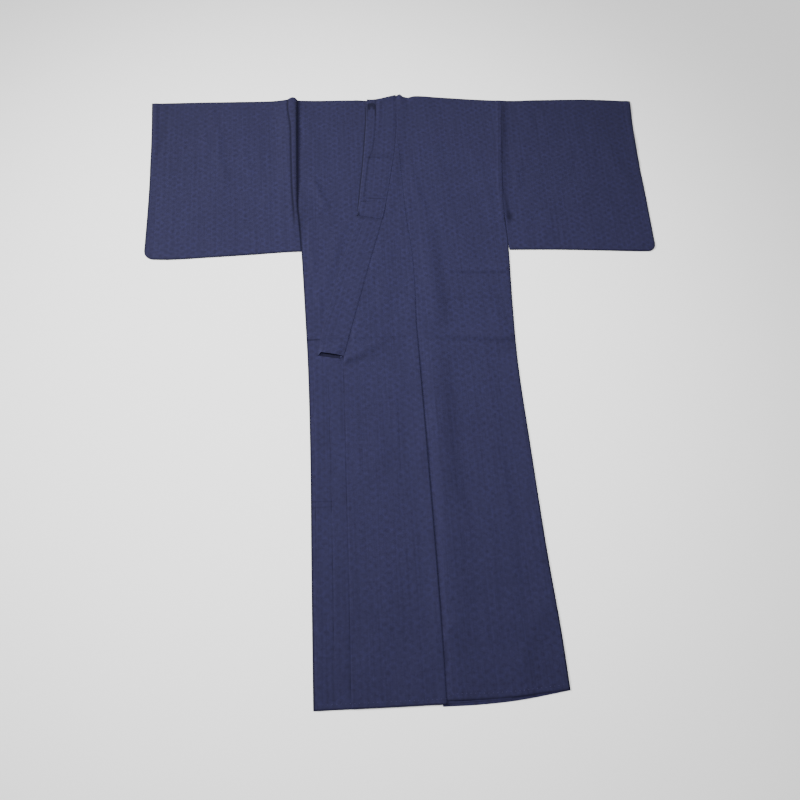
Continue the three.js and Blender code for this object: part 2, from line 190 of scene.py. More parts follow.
# several waves at once: size, height and seed of each
def unevenness(x, down, rows):
    return sum(waves(x, down, *row) for row in rows)


# distances from 0 to total, `fine` apart near the places named and `coarse` apart elsewhere
def spacing(total, coarse, fine, near, reach):
    places = [0.0]
    while places[-1] < total - fine * 0.5:
        off = min(abs(places[-1] - n) for n in near)
        places.append(min(places[-1] + mix(fine, coarse, float(smooth((off - reach) / (reach * 2)))), total))
    places[-1] = total
    return np.array(places)


# the slant of a strip's end: how far below look["end"] it lies, by x
def slantOf(look):
    def below(x):
        return (x - look["endX"]) * look["endSlope"]

    return below


# a piece's grid: places across it and down it, closer together near its seams and creases
def gridOf(grid, length):
    columns = spacing(grid["width"], grid["coarse"], grid["fine"], grid["near"], grid["reach"])
    rows = spacing(length, grid["rowCoarse"], grid["rowFine"], grid["rowNear"], grid["rowReach"])
    return columns, rows


# x and down of a panel's grid between two long edges; its cross edges shift the rows near them
def panel(left, right, columns, rows, length, top=None, bottom=None, reach=0.12):
    share, row = np.meshgrid(columns / columns[-1], rows, indexing="ij")
    rough = mix(left(row), right(row), share)
    down = row.copy()
    if top:
        down -= top(rough) * np.maximum(0, 1 - row / reach)
    if bottom:
        down += bottom(rough) * np.maximum(0, 1 - (length - row) / reach)
    return mix(left(down), right(down), share), down


def addObject(name, data):
    made = bpy.data.objects.new(name, data)
    bpy.context.scene.collection.objects.link(made)
    return made


# One mesh from grids of points and the quads between them. Its attribute "crevice" holds painted shade: how
# far a point lies in a seam, a pressed line or inside a fold, where shade falls, and so how much darker its
# cloth is painted.
def makeMesh(name, points, uvs, quads, paintedShade):
    mesh = bpy.data.meshes.new(name)
    mesh.vertices.add(len(points))
    mesh.vertices.foreach_set("co", points.astype(np.float32).ravel())
    mesh.loops.add(len(quads) * 4)
    mesh.loops.foreach_set("vertex_index", quads.astype(np.int32).ravel())
    mesh.polygons.add(len(quads))
    mesh.polygons.foreach_set("loop_start", np.arange(len(quads), dtype=np.int32) * 4)
    mesh.update(calc_edges=True)
    mesh.validate()
    layerUv = mesh.uv_layers.new(name="cloth")
    loops = np.empty(len(mesh.loops), np.int32)
    mesh.loops.foreach_get("vertex_index", loops)
    layerUv.data.foreach_set("uv", uvs[loops].astype(np.float32).ravel())
    deep = mesh.attributes.new("paintedShade", "FLOAT", "POINT")
    deep.data.foreach_set("value", np.clip(paintedShade, 0, 1).astype(np.float32))
    mesh.polygons.foreach_set("use_smooth", np.ones(len(mesh.polygons), bool))
    mesh.set_sharp_from_angle(angle=radians(60))
    return addObject(name, mesh)


def gridQuads(index, faceUp):
    a, b, c, d = index[:-1, :-1], index[:-1, 1:], index[1:, 1:], index[1:, :-1]
    corners = [a, b, c, d] if faceUp else [d, c, b, a]
    return np.stack([k.ravel() for k in corners], 1)


def rimOf(index):
    return np.concatenate([index[0, :-1], index[:-1, -1], index[-1, :0:-1], index[:0:-1, 0]])


def toRow(x, down, z):
    return np.stack([(x - garment["middleX"]).ravel(), (garment["shoulderY"] - down).ravel(), z.ravel()], 1)


# one layer of cloth with a wall all round
def sheetPiece(name, x, down, low, high, u, v, xHigh=None, shadeMarks=None):
    count = x.size
    index = np.arange(count).reshape(x.shape)
    quads = [gridQuads(index, False), gridQuads(index + count, True)]
    loop = rimOf(index)
    after = np.roll(loop, -1)
    quads.append(np.stack([loop, after, after + count, loop + count], 1))
    points = np.concatenate([toRow(x, down, low), toRow(x if xHigh is None else xHigh, down, high)])
    uv = np.tile(np.stack([u.ravel(), v.ravel()], 1), (2, 1))
    shadeMarks = np.zeros(count) if shadeMarks is None else shadeMarks.ravel()
    return makeMesh(name, points, uv, np.concatenate(quads), np.concatenate([shadeMarks * 0.6, shadeMarks]))


# a turned edge gets a thin line of painted shade, `edgeReach` wide; the lit edges need more of it to show
edgeDark, edgeDarkLit, edgeReach = 0.85, 1.7, 0.005
# foldDark: how much painted shade a closed rim gets where its fold rolls away from the light
foldDark, foldLeast, spaceLeast = 0.85, 0.12, 0.0001    # a pressed fold keeps a little thickness


# two layers joined where their rim is closed, rounded there like a pressed fold
def foldedPiece(name, back, front, backLow, frontTop, closed, radius, grain, shadeMarks, shadedSidesAndPatternFade=(), inside=0.3):
    nu, nv = back[0].shape
    index = np.arange(nu * nv).reshape(nu, nv)
    count = nu * nv
    near = np.ones((nu, nv))      # 1 away from a closed rim, 0 on it
    insetX, insetY = np.zeros((nu, nv)), np.zeros((nu, nv))
    fx, fd = front
    edges = dict(left=np.abs(fx - fx[:1]), right=np.abs(fx - fx[-1:]),
                 top=np.abs(fd - fd[:, :1]), bottom=np.abs(fd - fd[:, -1:]))
    for side, off in edges.items():
        shut = closed[side]
        shut = shut[None, :] if side in ("left", "right") else shut[:, None]
        rounding = np.sqrt(np.clip(1 - (1 - np.minimum(off / radius, 1)) ** 2, 0, 1))
        near = np.minimum(near, 1 - shut * (1 - rounding))
    near = np.maximum(near, foldLeast)
    # the sides named get a line of painted shade along their edge
    for side in shadedSidesAndPatternFade:
        dark = edgeDark if side == "bottom" else edgeDarkLit
        shadeMarks = shadeMarks + dark * (1 - smooth(edges[side] / edgeReach))
    rows = closed["left"] > 0.5, closed["right"] > 0.5
    columns = closed["top"] > 0.5, closed["bottom"] > 0.5
    insetX[0, rows[0]], insetX[-1, rows[1]] = wall, -wall
    insetY[columns[0], 0], insetY[columns[1], -1] = wall, -wall
    middle = (backLow + frontTop) / 2
    outerLow, outerHigh = middle - (middle - backLow) * near, middle + (frontTop - middle) * near
    space = np.maximum((frontTop - backLow) / 2 - wall, spaceLeast) * near
    innerLow, innerHigh = middle - space, middle + space
    points = np.concatenate([
        toRow(back[0], back[1], outerLow), toRow(back[0] + insetX, back[1] + insetY, innerLow),
        toRow(fx + insetX, fd + insetY, innerHigh), toRow(fx, fd, outerHigh)])
    uv = np.concatenate([np.stack(pair, 1) for pair in grain])
    # painted shade along the closed rims; the inner faces get `inside` of it, as painted shade inside the
    # fold
    rim = ((1 - near) * foldDark).ravel()
    paintedShade = np.concatenate([rim, np.full(2 * count, inside), rim + shadeMarks.ravel()])
    quads = [gridQuads(index, False), gridQuads(index + count, True),
             gridQuads(index + 2 * count, False), gridQuads(index + 3 * count, True)]
    loop = rimOf(index)
    after = np.roll(loop, -1)
    shut = np.concatenate([
        closed["left"][:-1] > 0.5, closed["bottom"][:-1] > 0.5,
        closed["right"][:0:-1] > 0.5, closed["top"][:0:-1] > 0.5])
    # the four faces from below: the back's outer and inner one, the front's inner and outer one
    b, c, d = count, 2 * count, 3 * count
    for n in range(len(loop)):
        here, there = loop[n], after[n]
        if shut[n]:
            quads.append(np.array([[here, there, there + d, here + d],
                                   [here + b, here + c, there + c, there + b]]))
        else:
            quads.append(np.array([[here, there, there + b, here + b],
                                   [here + c, there + c, there + d, here + d]]))
        if not shut[n] and shut[n - 1]:
            quads.append(np.array([[here, here + b, here + c, here + d]]))
        if shut[n] and not shut[n - 1]:
            quads.append(np.array([[here + d, here + c, here + b, here]]))
    return makeMesh(name, points, uv, np.concatenate(quads), paintedShade)


# weave coordinates in metres, across the cloth and down it, turned by degrees or measured from an edge;
# the faces of the back layer read theirs upwards
def grainOf(back, front, turn=0.0, origin=None):
    pairs = []
    for (x, down), way in ((back, -1), (back, -1), (front, 1), (front, 1)):
        u = x - origin(down) if origin else x * cos(radians(turn)) + down * sin(radians(turn))
        v = down * cos(radians(turn)) - x * sin(radians(turn))
        pairs.append((u.ravel(), v.ravel() * way))
    return pairs


# soft creases of the layers that lie on the surface: across, down, half width and height
backCreases = [
    [(-0.23, 0.14, 0.012, 0.0003), (-0.15, 0.33, 0.02, 0.0005), (-0.12, 0.5, 0.014, 0.0002)],
    [(0.24, 0.2, 0.014, 0.0003), (0.14, 0.38, 0.02, 0.0005), (0.09, 0.56, 0.016, 0.0002)],
    [(-0.22, 0.735, 0.012, 0.0004), (-0.02, 0.728, 0.015, 0.0003), (0.22, 0.742, 0.012, 0.0004)],
    [(-0.23, 1.12, 0.012, 0.0004), (0.03, 1.126, 0.014, 0.0003), (0.23, 1.11, 0.012, 0.0004)],
    [(-0.16, 0.8, 0.01, 0.0002), (-0.13, 1.05, 0.014, 0.0004), (-0.14, 1.4, 0.012, 0.0002)],
    [(0.12, 0.82, 0.01, 0.0002), (0.14, 1.2, 0.014, 0.0004), (0.13, 1.45, 0.012, 0.0002)],
    [(-0.62, 0.1, 0.012, 0.0002), (-0.46, 0.25, 0.018, 0.0005), (-0.33, 0.42, 0.013, 0.0003)],
    [(0.6, 0.08, 0.012, 0.0002), (0.47, 0.27, 0.018, 0.0005), (0.32, 0.4, 0.013, 0.0003)],
]


def underside(x, down, seed):
    return np.maximum(folds(x, down, backCreases) + waves(x, down, 0.06, 0.0003, seed), 0)


# which parts of a piece's rim are closed, by side: all, none, or where a mask says so
def closedRim(columns, rows, left=False, right=False, top=False, bottom=False):
    return dict(left=left * np.ones(len(rows)), right=right * np.ones(len(rows)),
                top=top * np.ones(len(columns)), bottom=bottom * np.ones(len(columns)))


# the under front's two pressed creases
outerPress = line((0.764, -0.24), (1.0, -0.238), (1.311, -0.237), (1.508, -0.237))
innerPress = line((0.8, -0.206), (0.922, -0.205), (1.1, -0.204), (1.313, -0.204), (1.51, -0.207))

bodyRightLook = dict(
    grid=dict(width=0.225, coarse=0.0075, fine=0.0012, near=(0, 0.009, 0.0135, 0.043, 0.0755),
              reach=0.004, rowCoarse=0.009, rowFine=0.0015, rowNear=(0, 0.7335, 1.1135, 1.126, 1.506),
              rowReach=0.006),
    neckX=-0.045, neckDepth=0.06, backNeckDepth=0.02,
    foldRadius=0.0028, topShutTo=0.15,      # the shoulder is one fold as far as the neck
    chest=[
        [(-0.236, 0.275, 0.016, 0.0019), (-0.207, 0.35, 0.013, 0.0014)],
        [(-0.206, 0.342, 0.012, 0.0008), (-0.23, 0.39, 0.012, 0.0003)],
        [(-0.252, 0.33, 0.014, 0.0004), (-0.245, 0.45, 0.013, 0.0007), (-0.238, 0.56, 0.01, 0.0003)],
        [(-0.262, 0.08, 0.016, 0.0006), (-0.23, 0.145, 0.014, 0.0006)],
        [(-0.226, 0.6, 0.012, 0.0004), (-0.219, 0.7, 0.01, 0.0008)],
        [(-0.16, 0.42, 0.03, 0.0006), (-0.2, 0.56, 0.03, 0.0006)],
    ],
    # the relief ends a little before what lies on it: the collar, and below that the overlap's edge
    collarEnd=0.77, collarClear=0.004, collarFade=0.02, edgeClear=0.003, edgeFade=0.01, sideFade=0.01,
    skirtFrom=0.78, skirtFade=0.05,
    innerStep=(-0.0004, 0.012), outerStep=(0.0005, 0.02),       # height and reach
    waist=0.7345, waistStep=(0.0007, 0.05), rollAbove=0.005, roll=(0.012, 0.0007),
    waves=((0.11, 0.0011, 3), (0.04, 0.0002, 4)), patchiness=(0.03, 1.2, 31),
    # painted shade in lines down the skirt's pressed creases: how far beside the crease, half width and how
    # dark
    skirtLines=((outerPress, 0, 0.0018, 0.5), (innerPress, 0, 0.0018, 0.6),
                (frontEdge, -0.0012, 0.0026, 0.45)),
    # lines of painted shade: across, down, half width and how dark
    lines=[
        [(-0.254, 0.7335, 0.003, 0.9), (-0.226, 0.7325, 0.003, 0.75), (-0.2, 0.7325, 0.003, 0.0)],
        [(-0.245, 1.1135, 0.0028, 0.4), (-0.196, 1.1145, 0.0028, 0.3)],
        [(-0.245, 1.127, 0.0028, 0.35), (-0.197, 1.125, 0.0028, 0.25)],
        [(-0.266, 0.3, 0.012, 0.1), (-0.258, 0.345, 0.014, 0.26), (-0.259, 0.385, 0.018, 0.3),
         (-0.26, 0.43, 0.014, 0.16), (-0.256, 0.48, 0.008, 0)],
        # painted shade on the cloth seen through the collar's open end
        [(-0.18, 0.777, 0.006, 1), (-0.173, 0.779, 0.006, 1), (-0.168, 0.78, 0.006, 1)],
    ],
    # the shade that the sleeve's ridge leaves along the armhole seam
    armDark=line((0, 0.55), (0.1, 0.66), (0.27, 0.6), (0.33, 0.45), (0.4, 0.25), (0.46, 0)),
    armLine=(0.0025, 0.0085), creaseGain=1.6, markDepth=0.0004,
)


def makeBodyRight(look):
    def inner(down):
        sewn = np.minimum(underSeam(down), underCollarEdge(down)) - seamGap
        return np.where(down < look["neckDepth"], look["neckX"], sewn)

    def middleBack(down):
        return np.where(down < look["backNeckDepth"], look["neckX"], backSeam(down) - seamGap / 2)

    columns, rows = gridOf(look["grid"], garment["length"])
    back = panel(sideRight, middleBack, columns, rows, garment["length"], shoulder, hemRight)
    front = panel(sideRight, inner, columns, rows, garment["length"], shoulder, hemRight)
    x, down = front
    fromSide = x - sideRight(down)
    seen = smooth((collarFold(down) - look["collarClear"] - x) / look["collarFade"])
    below = smooth((frontEdge(down) - look["edgeClear"] - x) / look["edgeFade"])
    seen = np.where(down > look["collarEnd"], below, seen)
    skirt = smooth((down - look["skirtFrom"]) / look["skirtFade"])
    relief = folds(x, down, look["chest"]) * look["creaseGain"]
    relief += press(innerPress(down) - x, *look["innerStep"]) * skirt
    relief += press(x - outerPress(down), *look["outerStep"]) * skirt
    relief -= press(down - look["waist"], *look["waistStep"])
    relief += ridge(down, look["waist"] - look["rollAbove"], *look["roll"])
    seamOff, seamWidth = look["armLine"]
    # painted shade: the given lines, along the armhole seam, and down the pressed creases, stronger in
    # patches
    shadeMarks = folds(x, down, look["lines"])
    shadeMarks += ridge(x, sideRight(down) + seamOff, seamWidth, 1) * look["armDark"](down)
    patchiness = 0.75 + waves(x, down, *look["patchiness"])
    for crease, beside, width, dark in look["skirtLines"]:
        shadeMarks += ridge(x, crease(down) + beside, width, dark) * skirt * patchiness
    relief -= shadeMarks * look["markDepth"]
    relief += unevenness(x, down, look["waves"])
    top = layer + wall + np.maximum(relief + loft, -loft) * seen * smooth(fromSide / look["sideFade"])
    low = underside(*back, 41)
    closed = closedRim(columns, rows, left=rows > garment["armhole"], top=columns < look["topShutTo"])
    grain = grainOf(back, front)
    return foldedPiece("bodyRight", back, front, low, top, closed, look["foldRadius"], grain, shadeMarks,
                       shadedSidesAndPatternFade=("left", "top", "bottom"))


bodyLeftLook = dict(
    grid=dict(width=0.245, coarse=0.0075, fine=0.0012, near=(0, 0.003, 0.232, 0.24, 0.245), reach=0.004,
              rowCoarse=0.009, rowFine=0.0025, rowNear=(0, 0.562, 0.633, 0.742, 1.506), rowReach=0.006),
    foldRadius=0.003, seamOff=0.00005,
    stepWidth=0.03,         # it steps down this far beyond the hidden front, over as much again
    seamMark=0.007, seamFade=0.006, sideFade=0.012,
    seamBand=line((0.3, 0), (0.6, 0.0006), (0.72, 0.0016), (0.82, 0.0033), (1.1, 0.0032), (1.3, 0.002),
                  (1.512, 0.001)),
    seamLine=line((0, 0), (0.2, 0.02), (0.6, 0.04), (0.71, 0.06), (0.77, 0.12), (1.4, 0.12), (1.512, 0.16)),
    # lines of painted shade in creases: across, down, half width and how dark
    lines=[
        [(0.1, 0.56, 0.007, 0.1), (0.15, 0.562, 0.008, 0.24), (0.235, 0.563, 0.007, 0.2)],
        [(0.016, 0.631, 0.006, 0.06), (0.13, 0.633, 0.006, 0.12), (0.24, 0.635, 0.006, 0.16)],
        [(0.02, 0.736, 0.011, 0.06), (0.1, 0.742, 0.014, 0.2), (0.23, 0.751, 0.014, 0.2)],
        [(0.07, 0.8, 0.02, 0.1), (0.063, 0.966, 0.024, 0.2), (0.066, 1.08, 0.022, 0.18),
         (0.082, 1.15, 0.018, 0.12), (0.092, 1.24, 0.014, 0)],
        [(0.072, 0.42, 0.016, 0.05), (0.074, 0.55, 0.018, 0.14), (0.079, 0.66, 0.018, 0.14),
         (0.079, 0.7, 0.012, 0)],
    ],
    creaseGain=1.3,
    bandCrest=line((0.3, 0.02), (0.76, 0.03), (1.0, 0.026), (1.25, 0.02), (1.512, 0.02)),
    bandFall=0.062,
    creases=[
        [(0.018, 0.2, 0.012, 0.0004), (0.03, 0.31, 0.014, 0.0013), (0.05, 0.375, 0.013, 0.0012)],
        [(0.06, 0.29, 0.016, 0.0006), (0.094, 0.4, 0.016, 0.0008)],
        [(0.052, 0.42, 0.03, 0.0012), (0.05, 0.55, 0.032, 0.002), (0.054, 0.68, 0.034, 0.0016)],
        [(0.05, -0.004, 0.02, 0.0012), (0.11, 0.04, 0.018, 0.0008)],
        [(0.006, -0.022, 0.011, 0.002), (0.01, 0.0, 0.011, 0.0012), (0.016, 0.04, 0.011, 0.0003)],
        [(0.035, -0.012, 0.009, 0.0014), (0.05, 0.01, 0.012, 0.0006)],
        [(0.09, 0.552, 0.014, 0.0008), (0.24, 0.553, 0.014, 0.0009)],
        [(0.172, 1.06, 0.012, 0.0005), (0.176, 1.16, 0.012, 0.0006)],
        [(0.015, 1.39, 0.012, 0.0008), (0.05, 1.36, 0.012, 0.0004)],
        [(0.15, 1.47, 0.02, 0.0006), (0.21, 1.36, 0.03, 0.0009)],
        [(0.2, 0.2, 0.03, 0.0008), (0.22, 0.36, 0.03, 0.001)],
    ],
    pressed=((0.5625, 0.10, 0.0002), (0.634, 0.02, 0.0001)),      # down, from x, depth
    pressedWidth=0.005, pressedFade=0.02,
    waist=line((0, 0.738), (0.06, 0.7385), (0.23, 0.75)), rollAbove=0.008, roll=(0.018, 0.0011),
    waves=((0.12, 0.0012, 8), (0.04, 0.0002, 9)),
    armholeRidge=dict(crest=0.006, width=0.011, height=0.0012),
    armhole=line((0, 0.0008), (0.1, 0.0022), (0.3, 0.002), (0.4, 0.0008), (0.45, 0)), armholeReach=0.05,
    # armLine gives a line of painted shade along the armhole
    armLine=(0.0085, 0.0026, 0.35),         # from the side, half width and how dark
    # how far down the armhole's shaded line and its ridge end, and the free side edge's line of painted shade
    # starts
    armLineEnd=0.36, armLineFade=0.05, ridgeEnd=0.39, ridgeFade=0.03, edgeFrom=0.47, edgeFade=0.02,
    rollFrom=0.04, rollFade=0.05,           # how far out the roll over the waist starts
)


def makeBodyLeft(look):
    def seam(down):
        return overlapSeam(down) + look["seamOff"]

    def middleBack(down):
        return backSeam(down) + seamGap / 2

    columns, rows = gridOf(look["grid"], garment["length"])
    back = panel(middleBack, sideLeft, columns, rows, garment["length"], shoulder, backHemLeft)
    front = panel(seam, sideLeft, columns, rows, garment["length"], shoulder, hemLeft)
    x, down = front
    underReach = np.where(down < garment["underSewnTo"], -collarFold(down), -frontEdge(down))
    underReach -= garment["inset"]
    rest = mix(2 * layer, layer, smooth((x - underReach - look["stepWidth"]) / look["stepWidth"]))
    off = x - overlapSeam(down)
    fromSide = sideLeft(down) - x
    crest = look["bandCrest"](down)
    band = smooth(off / crest) * (1 - smooth((off - crest) / look["bandFall"]))
    relief = folds(x, down, look["creases"]) * look["creaseGain"] + look["seamBand"](down) * band
    for markDown, fromX, markStep in look["pressed"]:
        fade = smooth((x - fromX) / look["pressedFade"])
        relief -= ridge(down, markDown, look["pressedWidth"], markStep) * fade
    # painted shade: along the overlap's seam, in the given lines, along the armhole and along the free side
    # edge
    shadeMarks = ridge(off, 0, look["seamMark"], 1) * look["seamLine"](down) + folds(x, down, look["lines"])
    shadeMarks += ridge(fromSide, *look["armLine"]) * smooth((look["armLineEnd"] - down) / look["armLineFade"])
    atEdge = smooth((down - look["edgeFrom"]) / look["edgeFade"])
    shadeMarks += edgeDarkLit * (1 - smooth(fromSide / edgeReach)) * atEdge
    rolled = smooth((x - look["rollFrom"]) / look["rollFade"])
    relief += ridge(down, look["waist"](x) - look["rollAbove"], *look["roll"]) * rolled
    relief += unevenness(x, down, look["waves"])
    free = smooth(off / look["seamFade"]) * smooth(fromSide / look["sideFade"])
    arm = ridge(fromSide, **look["armholeRidge"])
    arm *= 1 - smooth((down - look["ridgeEnd"]) / look["ridgeFade"])
    arm += look["armhole"](down) * (1 - smooth(fromSide / look["armholeReach"]))
    top = rest + wall + np.maximum(relief + loft, -loft) * free + arm + seamSwell(x, down)
    low = underside(*back, 42)
    closed = closedRim(columns, rows, right=rows > garment["armhole"], top=True)
    grain = grainOf(back, front)
    return foldedPiece("bodyLeft", back, front, low, top, closed, look["foldRadius"], grain, shadeMarks,
                       shadedSidesAndPatternFade=("top", "bottom"), inside=0.12)


sleeveLook = dict(
    grid=dict(width=0.385, coarse=0.008, fine=0.0013, near=(0, 0.008, 0.016, 0.027, 0.365, 0.385),
              reach=0.005, rowCoarse=0.0085, rowFine=0.003, rowNear=(0, 0.5), rowReach=0.006),
    corner=0.023, foldRadius=0.0026, creaseGain=1.6, grainTurn=2.5,
    cuffRoll=(0.009, 0.014), grooveWidth=0.0048, grooveDark=0.95, grooveEnd=0.45, grooveFade=0.1,
    right=dict(
        ridge=line((0, 0.006), (0.03, 0.0058), (0.15, 0.0054), (0.26, 0.0044), (0.33, 0.0028), (0.4, 0.0014),
                   (0.47, 0.0002)),
        seamMark=0.012, seamDark=line((0, 0.35), (0.06, 0.5), (0.3, 0.5), (0.4, 0.2), (0.45, 0)),
        crest=0.002, fall=0.003, rise=0.07, free=line((0, -0.0004), (0.48, -0.0004), (0.5, 0.0001)),
        groove=line((0, -0.304), (0.03, -0.3035), (0.087, -0.2965), (0.146, -0.2945), (0.289, -0.291),
                    (0.374, -0.286), (0.5, -0.28)), grooveDeep=0.0007,
        knot=[(-0.293, -0.004, 0.014, 0.0009), (-0.291, 0.012, 0.014, 0.0005)],
        cuff=line((0, 0.002), (0.1, 0.0018), (0.2, 0.0006), (0.26, 0.0003), (0.5, 0.0002)),
        waves=((0.1, 0.001, 21), (0.035, 0.0002, 5)),
        lines=[[(-0.63, 0.015, 0.012, 0.25), (-0.632, 0.105, 0.012, 0.26), (-0.639, 0.162, 0.01, 0.24),
                (-0.643, 0.205, 0.006, 0.08)]],
        creases=[
            [(-0.512, 0.02, 0.016, 0.0007), (-0.486, 0.12, 0.012, 0.0009), (-0.484, 0.19, 0.012, 0.0011),
             (-0.466, 0.245, 0.011, 0.0009), (-0.462, 0.3, 0.01, 0.0003)],
            [(-0.526, 0.11, 0.012, 0.0005), (-0.512, 0.16, 0.012, 0.0005)],
            [(-0.42, 0.17, 0.012, 0.0005), (-0.398, 0.245, 0.012, 0.0006)],
            [(-0.54, 0.374, 0.014, 0.0006), (-0.45, 0.369, 0.014, 0.0005)],
            [(-0.345, 0.3, 0.02, 0.0007), (-0.36, 0.36, 0.02, 0.0004)],
        ]),
    left=dict(
        ridge=line((0, 0.0012), (0.05, 0.0022), (0.2, 0.0018), (0.36, 0.0012), (0.42, 0.0003), (0.5, 0.0002)),
        crest=0.001, fall=0.002, rise=0.021,
        free=line((0, 0.0001), (0.48, 0.0001), (0.49, 0.001), (0.5, 0.004)),
        seamMark=0.017,
        seamDark=line((0, 0.15), (0.03, 0.5), (0.12, 0.5), (0.2, 0.3), (0.36, 0.3), (0.42, 0.05)),
        groove=line((0, 0.302), (0.5, 0.262)), grooveDeep=0,
        knot=[(0.3, 0, 0.01, 0.0003), (0.3, 0.01, 0.01, 0.0001)],
        cuff=line((0, 0.0012), (0.1, 0.001), (0.26, 0.0005), (0.5, 0.0003)), lines=[],
        waves=((0.1, 0.001, 33), (0.035, 0.0002, 6)),
        creases=[
            [(0.35, 0.03, 0.02, 0.0006), (0.37, 0.09, 0.02, 0.0008)],
            [(0.4, 0.05, 0.02, 0.0006), (0.41, 0.11, 0.02, 0.0005)],
            [(0.56, 0.15, 0.03, 0.0008), (0.6, 0.3, 0.03, 0.0006)],
            [(0.31, 0.23, 0.015, 0.0005), (0.3, 0.31, 0.015, 0.0008)],
        ]),
    hems=line((-0.65, 0), (-0.585, 0.003), (-0.49, -0.001), (-0.39, -0.006), (-0.27, -0.012), (0.259, -0.004),
              (0.385, -0.001), (0.49, 0.004), (0.592, 0.009), (0.64, 0.01)),
    # where the left sleeve sinks at the bottom of its armhole, and how much painted shade it gets there by
    # its depth
    pitDark=480,
    pit=[[(0.265, 0.3, 0.006, -0.0001), (0.268, 0.37, 0.009, -0.0007), (0.2705, 0.39, 0.014, -0.0017),
          (0.2695, 0.402, 0.014, -0.0017)]],
)


def makeSleeve(side, look):
    isRight = side == "right"
    own = look[side]
    sign = -1 if isRight else 1
    bodySide, cuff = (sideRight, cuffRight) if isRight else (sideLeft, cuffLeft)
    radius = look["corner"]

    def inner(down):
        return bodySide(down) + sign * own["free"](down)

    def bottom(x):
        left = np.clip(radius - np.abs(cuff(garment["sleeveDrop"]) - x), 0, radius)
        return look["hems"](x) - (radius - np.sqrt(radius ** 2 - left ** 2))

    fromSeam, rows = gridOf(look["grid"], garment["sleeveDrop"])
    columns = fromSeam[-1] - fromSeam[::-1] if isRight else fromSeam
    edges = (cuff, inner) if isRight else (inner, cuff)
    place = panel(*edges, columns, rows, garment["sleeveDrop"], shoulder, bottom)
    x, down = place
    off = np.abs(x - inner(down))
    fromCuff = np.abs(x - cuff(down))
    crest = own["crest"]
    crestShape = np.where(off < crest, smooth((off - crest + own["fall"]) / own["fall"]),
                          1 - smooth((off - crest) / own["rise"]))
    relief = own["ridge"](down) * crestShape
    relief += own["cuff"](down) * ridge(fromCuff, *look["cuffRoll"], 1)
    relief += folds(x, down, own["creases"] + [own["knot"]]) * look["creaseGain"]
    relief += unevenness(x, down, own["waves"])
    groove = ridge(x, own["groove"](down), look["grooveWidth"], 1)
    groove *= smooth((look["grooveEnd"] - down) / look["grooveFade"])
    relief -= groove * own["grooveDeep"]
    pit = folds(x, down, look["pit"])
    # painted shade: in the right sleeve's groove, along the armhole seam, in the given lines and in the left
    # sleeve's pit
    shadeMarks = groove * (own["grooveDeep"] > 0) * look["grooveDark"]
    shadeMarks += ridge(off, 0, own["seamMark"], 1) * own["seamDark"](down)
    shadeMarks += folds(x, down, own["lines"]) - pit * look["pitDark"]
    top = layer + wall + np.maximum(relief, -loft)
    if not isRight:
        top += pit
    low = underside(x, down, 43)
    atCuff, atBody = rows > garment["cuffOpening"], rows > garment["armhole"]
    left, right = (atCuff, atBody) if isRight else (atBody, atCuff)
    closed = closedRim(columns, rows, left, right, top=True, bottom=True)
    name, outer = ("sleeveRight", "left") if isRight else ("sleeveLeft", "right")
    grain = grainOf(place, place, sign * look["grainTurn"])
    return foldedPiece(name, place, place, low, top, closed, look["foldRadius"], grain, shadeMarks,
                       shadedSidesAndPatternFade=(outer, "top", "bottom"))


overlapLook = dict(
    grid=dict(width=0.177, coarse=0.007, fine=0.0012, near=(0, 0.004, 0.008, 0.0115, 0.116, 0.172, 0.177),
              reach=0.004, rowCoarse=0.009, rowFine=0.0022, rowNear=(0.736, 0.79, 1.506), rowReach=0.006),
    start=0.074,        # how far down it begins, as a point beside the collar
    seamOff=0.00005, seamFade=0.02,
    clearTo=0.772, clearOff=0.002, clearFade=0.012,     # its relief keeps clear of the collar's seam
    collarLine=(0.0006, 0.0024, 0.15),      # beyond the collar's seam, half width and how dark
    # the lift beside its seam, and how much lower and thinner it lies at the seam and at its free edge
    liftFrom=0.002, liftFade=0.03, seamSunk=0.6, seamReach=0.0015,
    freeSunk=0.55, freeReach=0.003, freeThin=0.4,
    edgeLift=line((0.12, 0.0004), (0.3, 0.0005), (0.6, 0.0008), (0.75, 0.0016), (1.0, 0.002), (1.3, 0.0018),
                  (1.512, 0.0012)),
    creases=[
        [(-0.165, 0.786, 0.016, 0.0016), (-0.128, 0.77, 0.018, 0.0016), (-0.075, 0.738, 0.02, 0.0006)],
        [(-0.058, 0.9, 0.012, 0.0004), (-0.062, 1.09, 0.012, 0.0004)],
        [(-0.1, 0.96, 0.04, 0.0008), (-0.09, 1.3, 0.05, 0.0008)],
        [(-0.06, 0.5, 0.03, 0.0007), (-0.07, 0.65, 0.03, 0.0009)],
    ],
    waist=0.7325, waistStep=(0.0003, 0.03), rollAbove=0.004, roll=(0.01, 0.0006),
    waves=((0.11, 0.0011, 12), (0.04, 0.0002, 13)),
    lines=[
        [(-0.051, 0.9, 0.0024, 0.05), (-0.053, 1.0, 0.0024, 0.13), (-0.056, 1.09, 0.0024, 0.05)],
        [(-0.162, 0.795, 0.012, 0.35), (-0.124, 0.779, 0.012, 0.3), (-0.076, 0.749, 0.012, 0.1)],
        [(-0.15, 0.733, 0.004, 0.05), (-0.09, 0.7325, 0.004, 0.1), (-0.01, 0.731, 0.004, 0.1)],
    ],
)


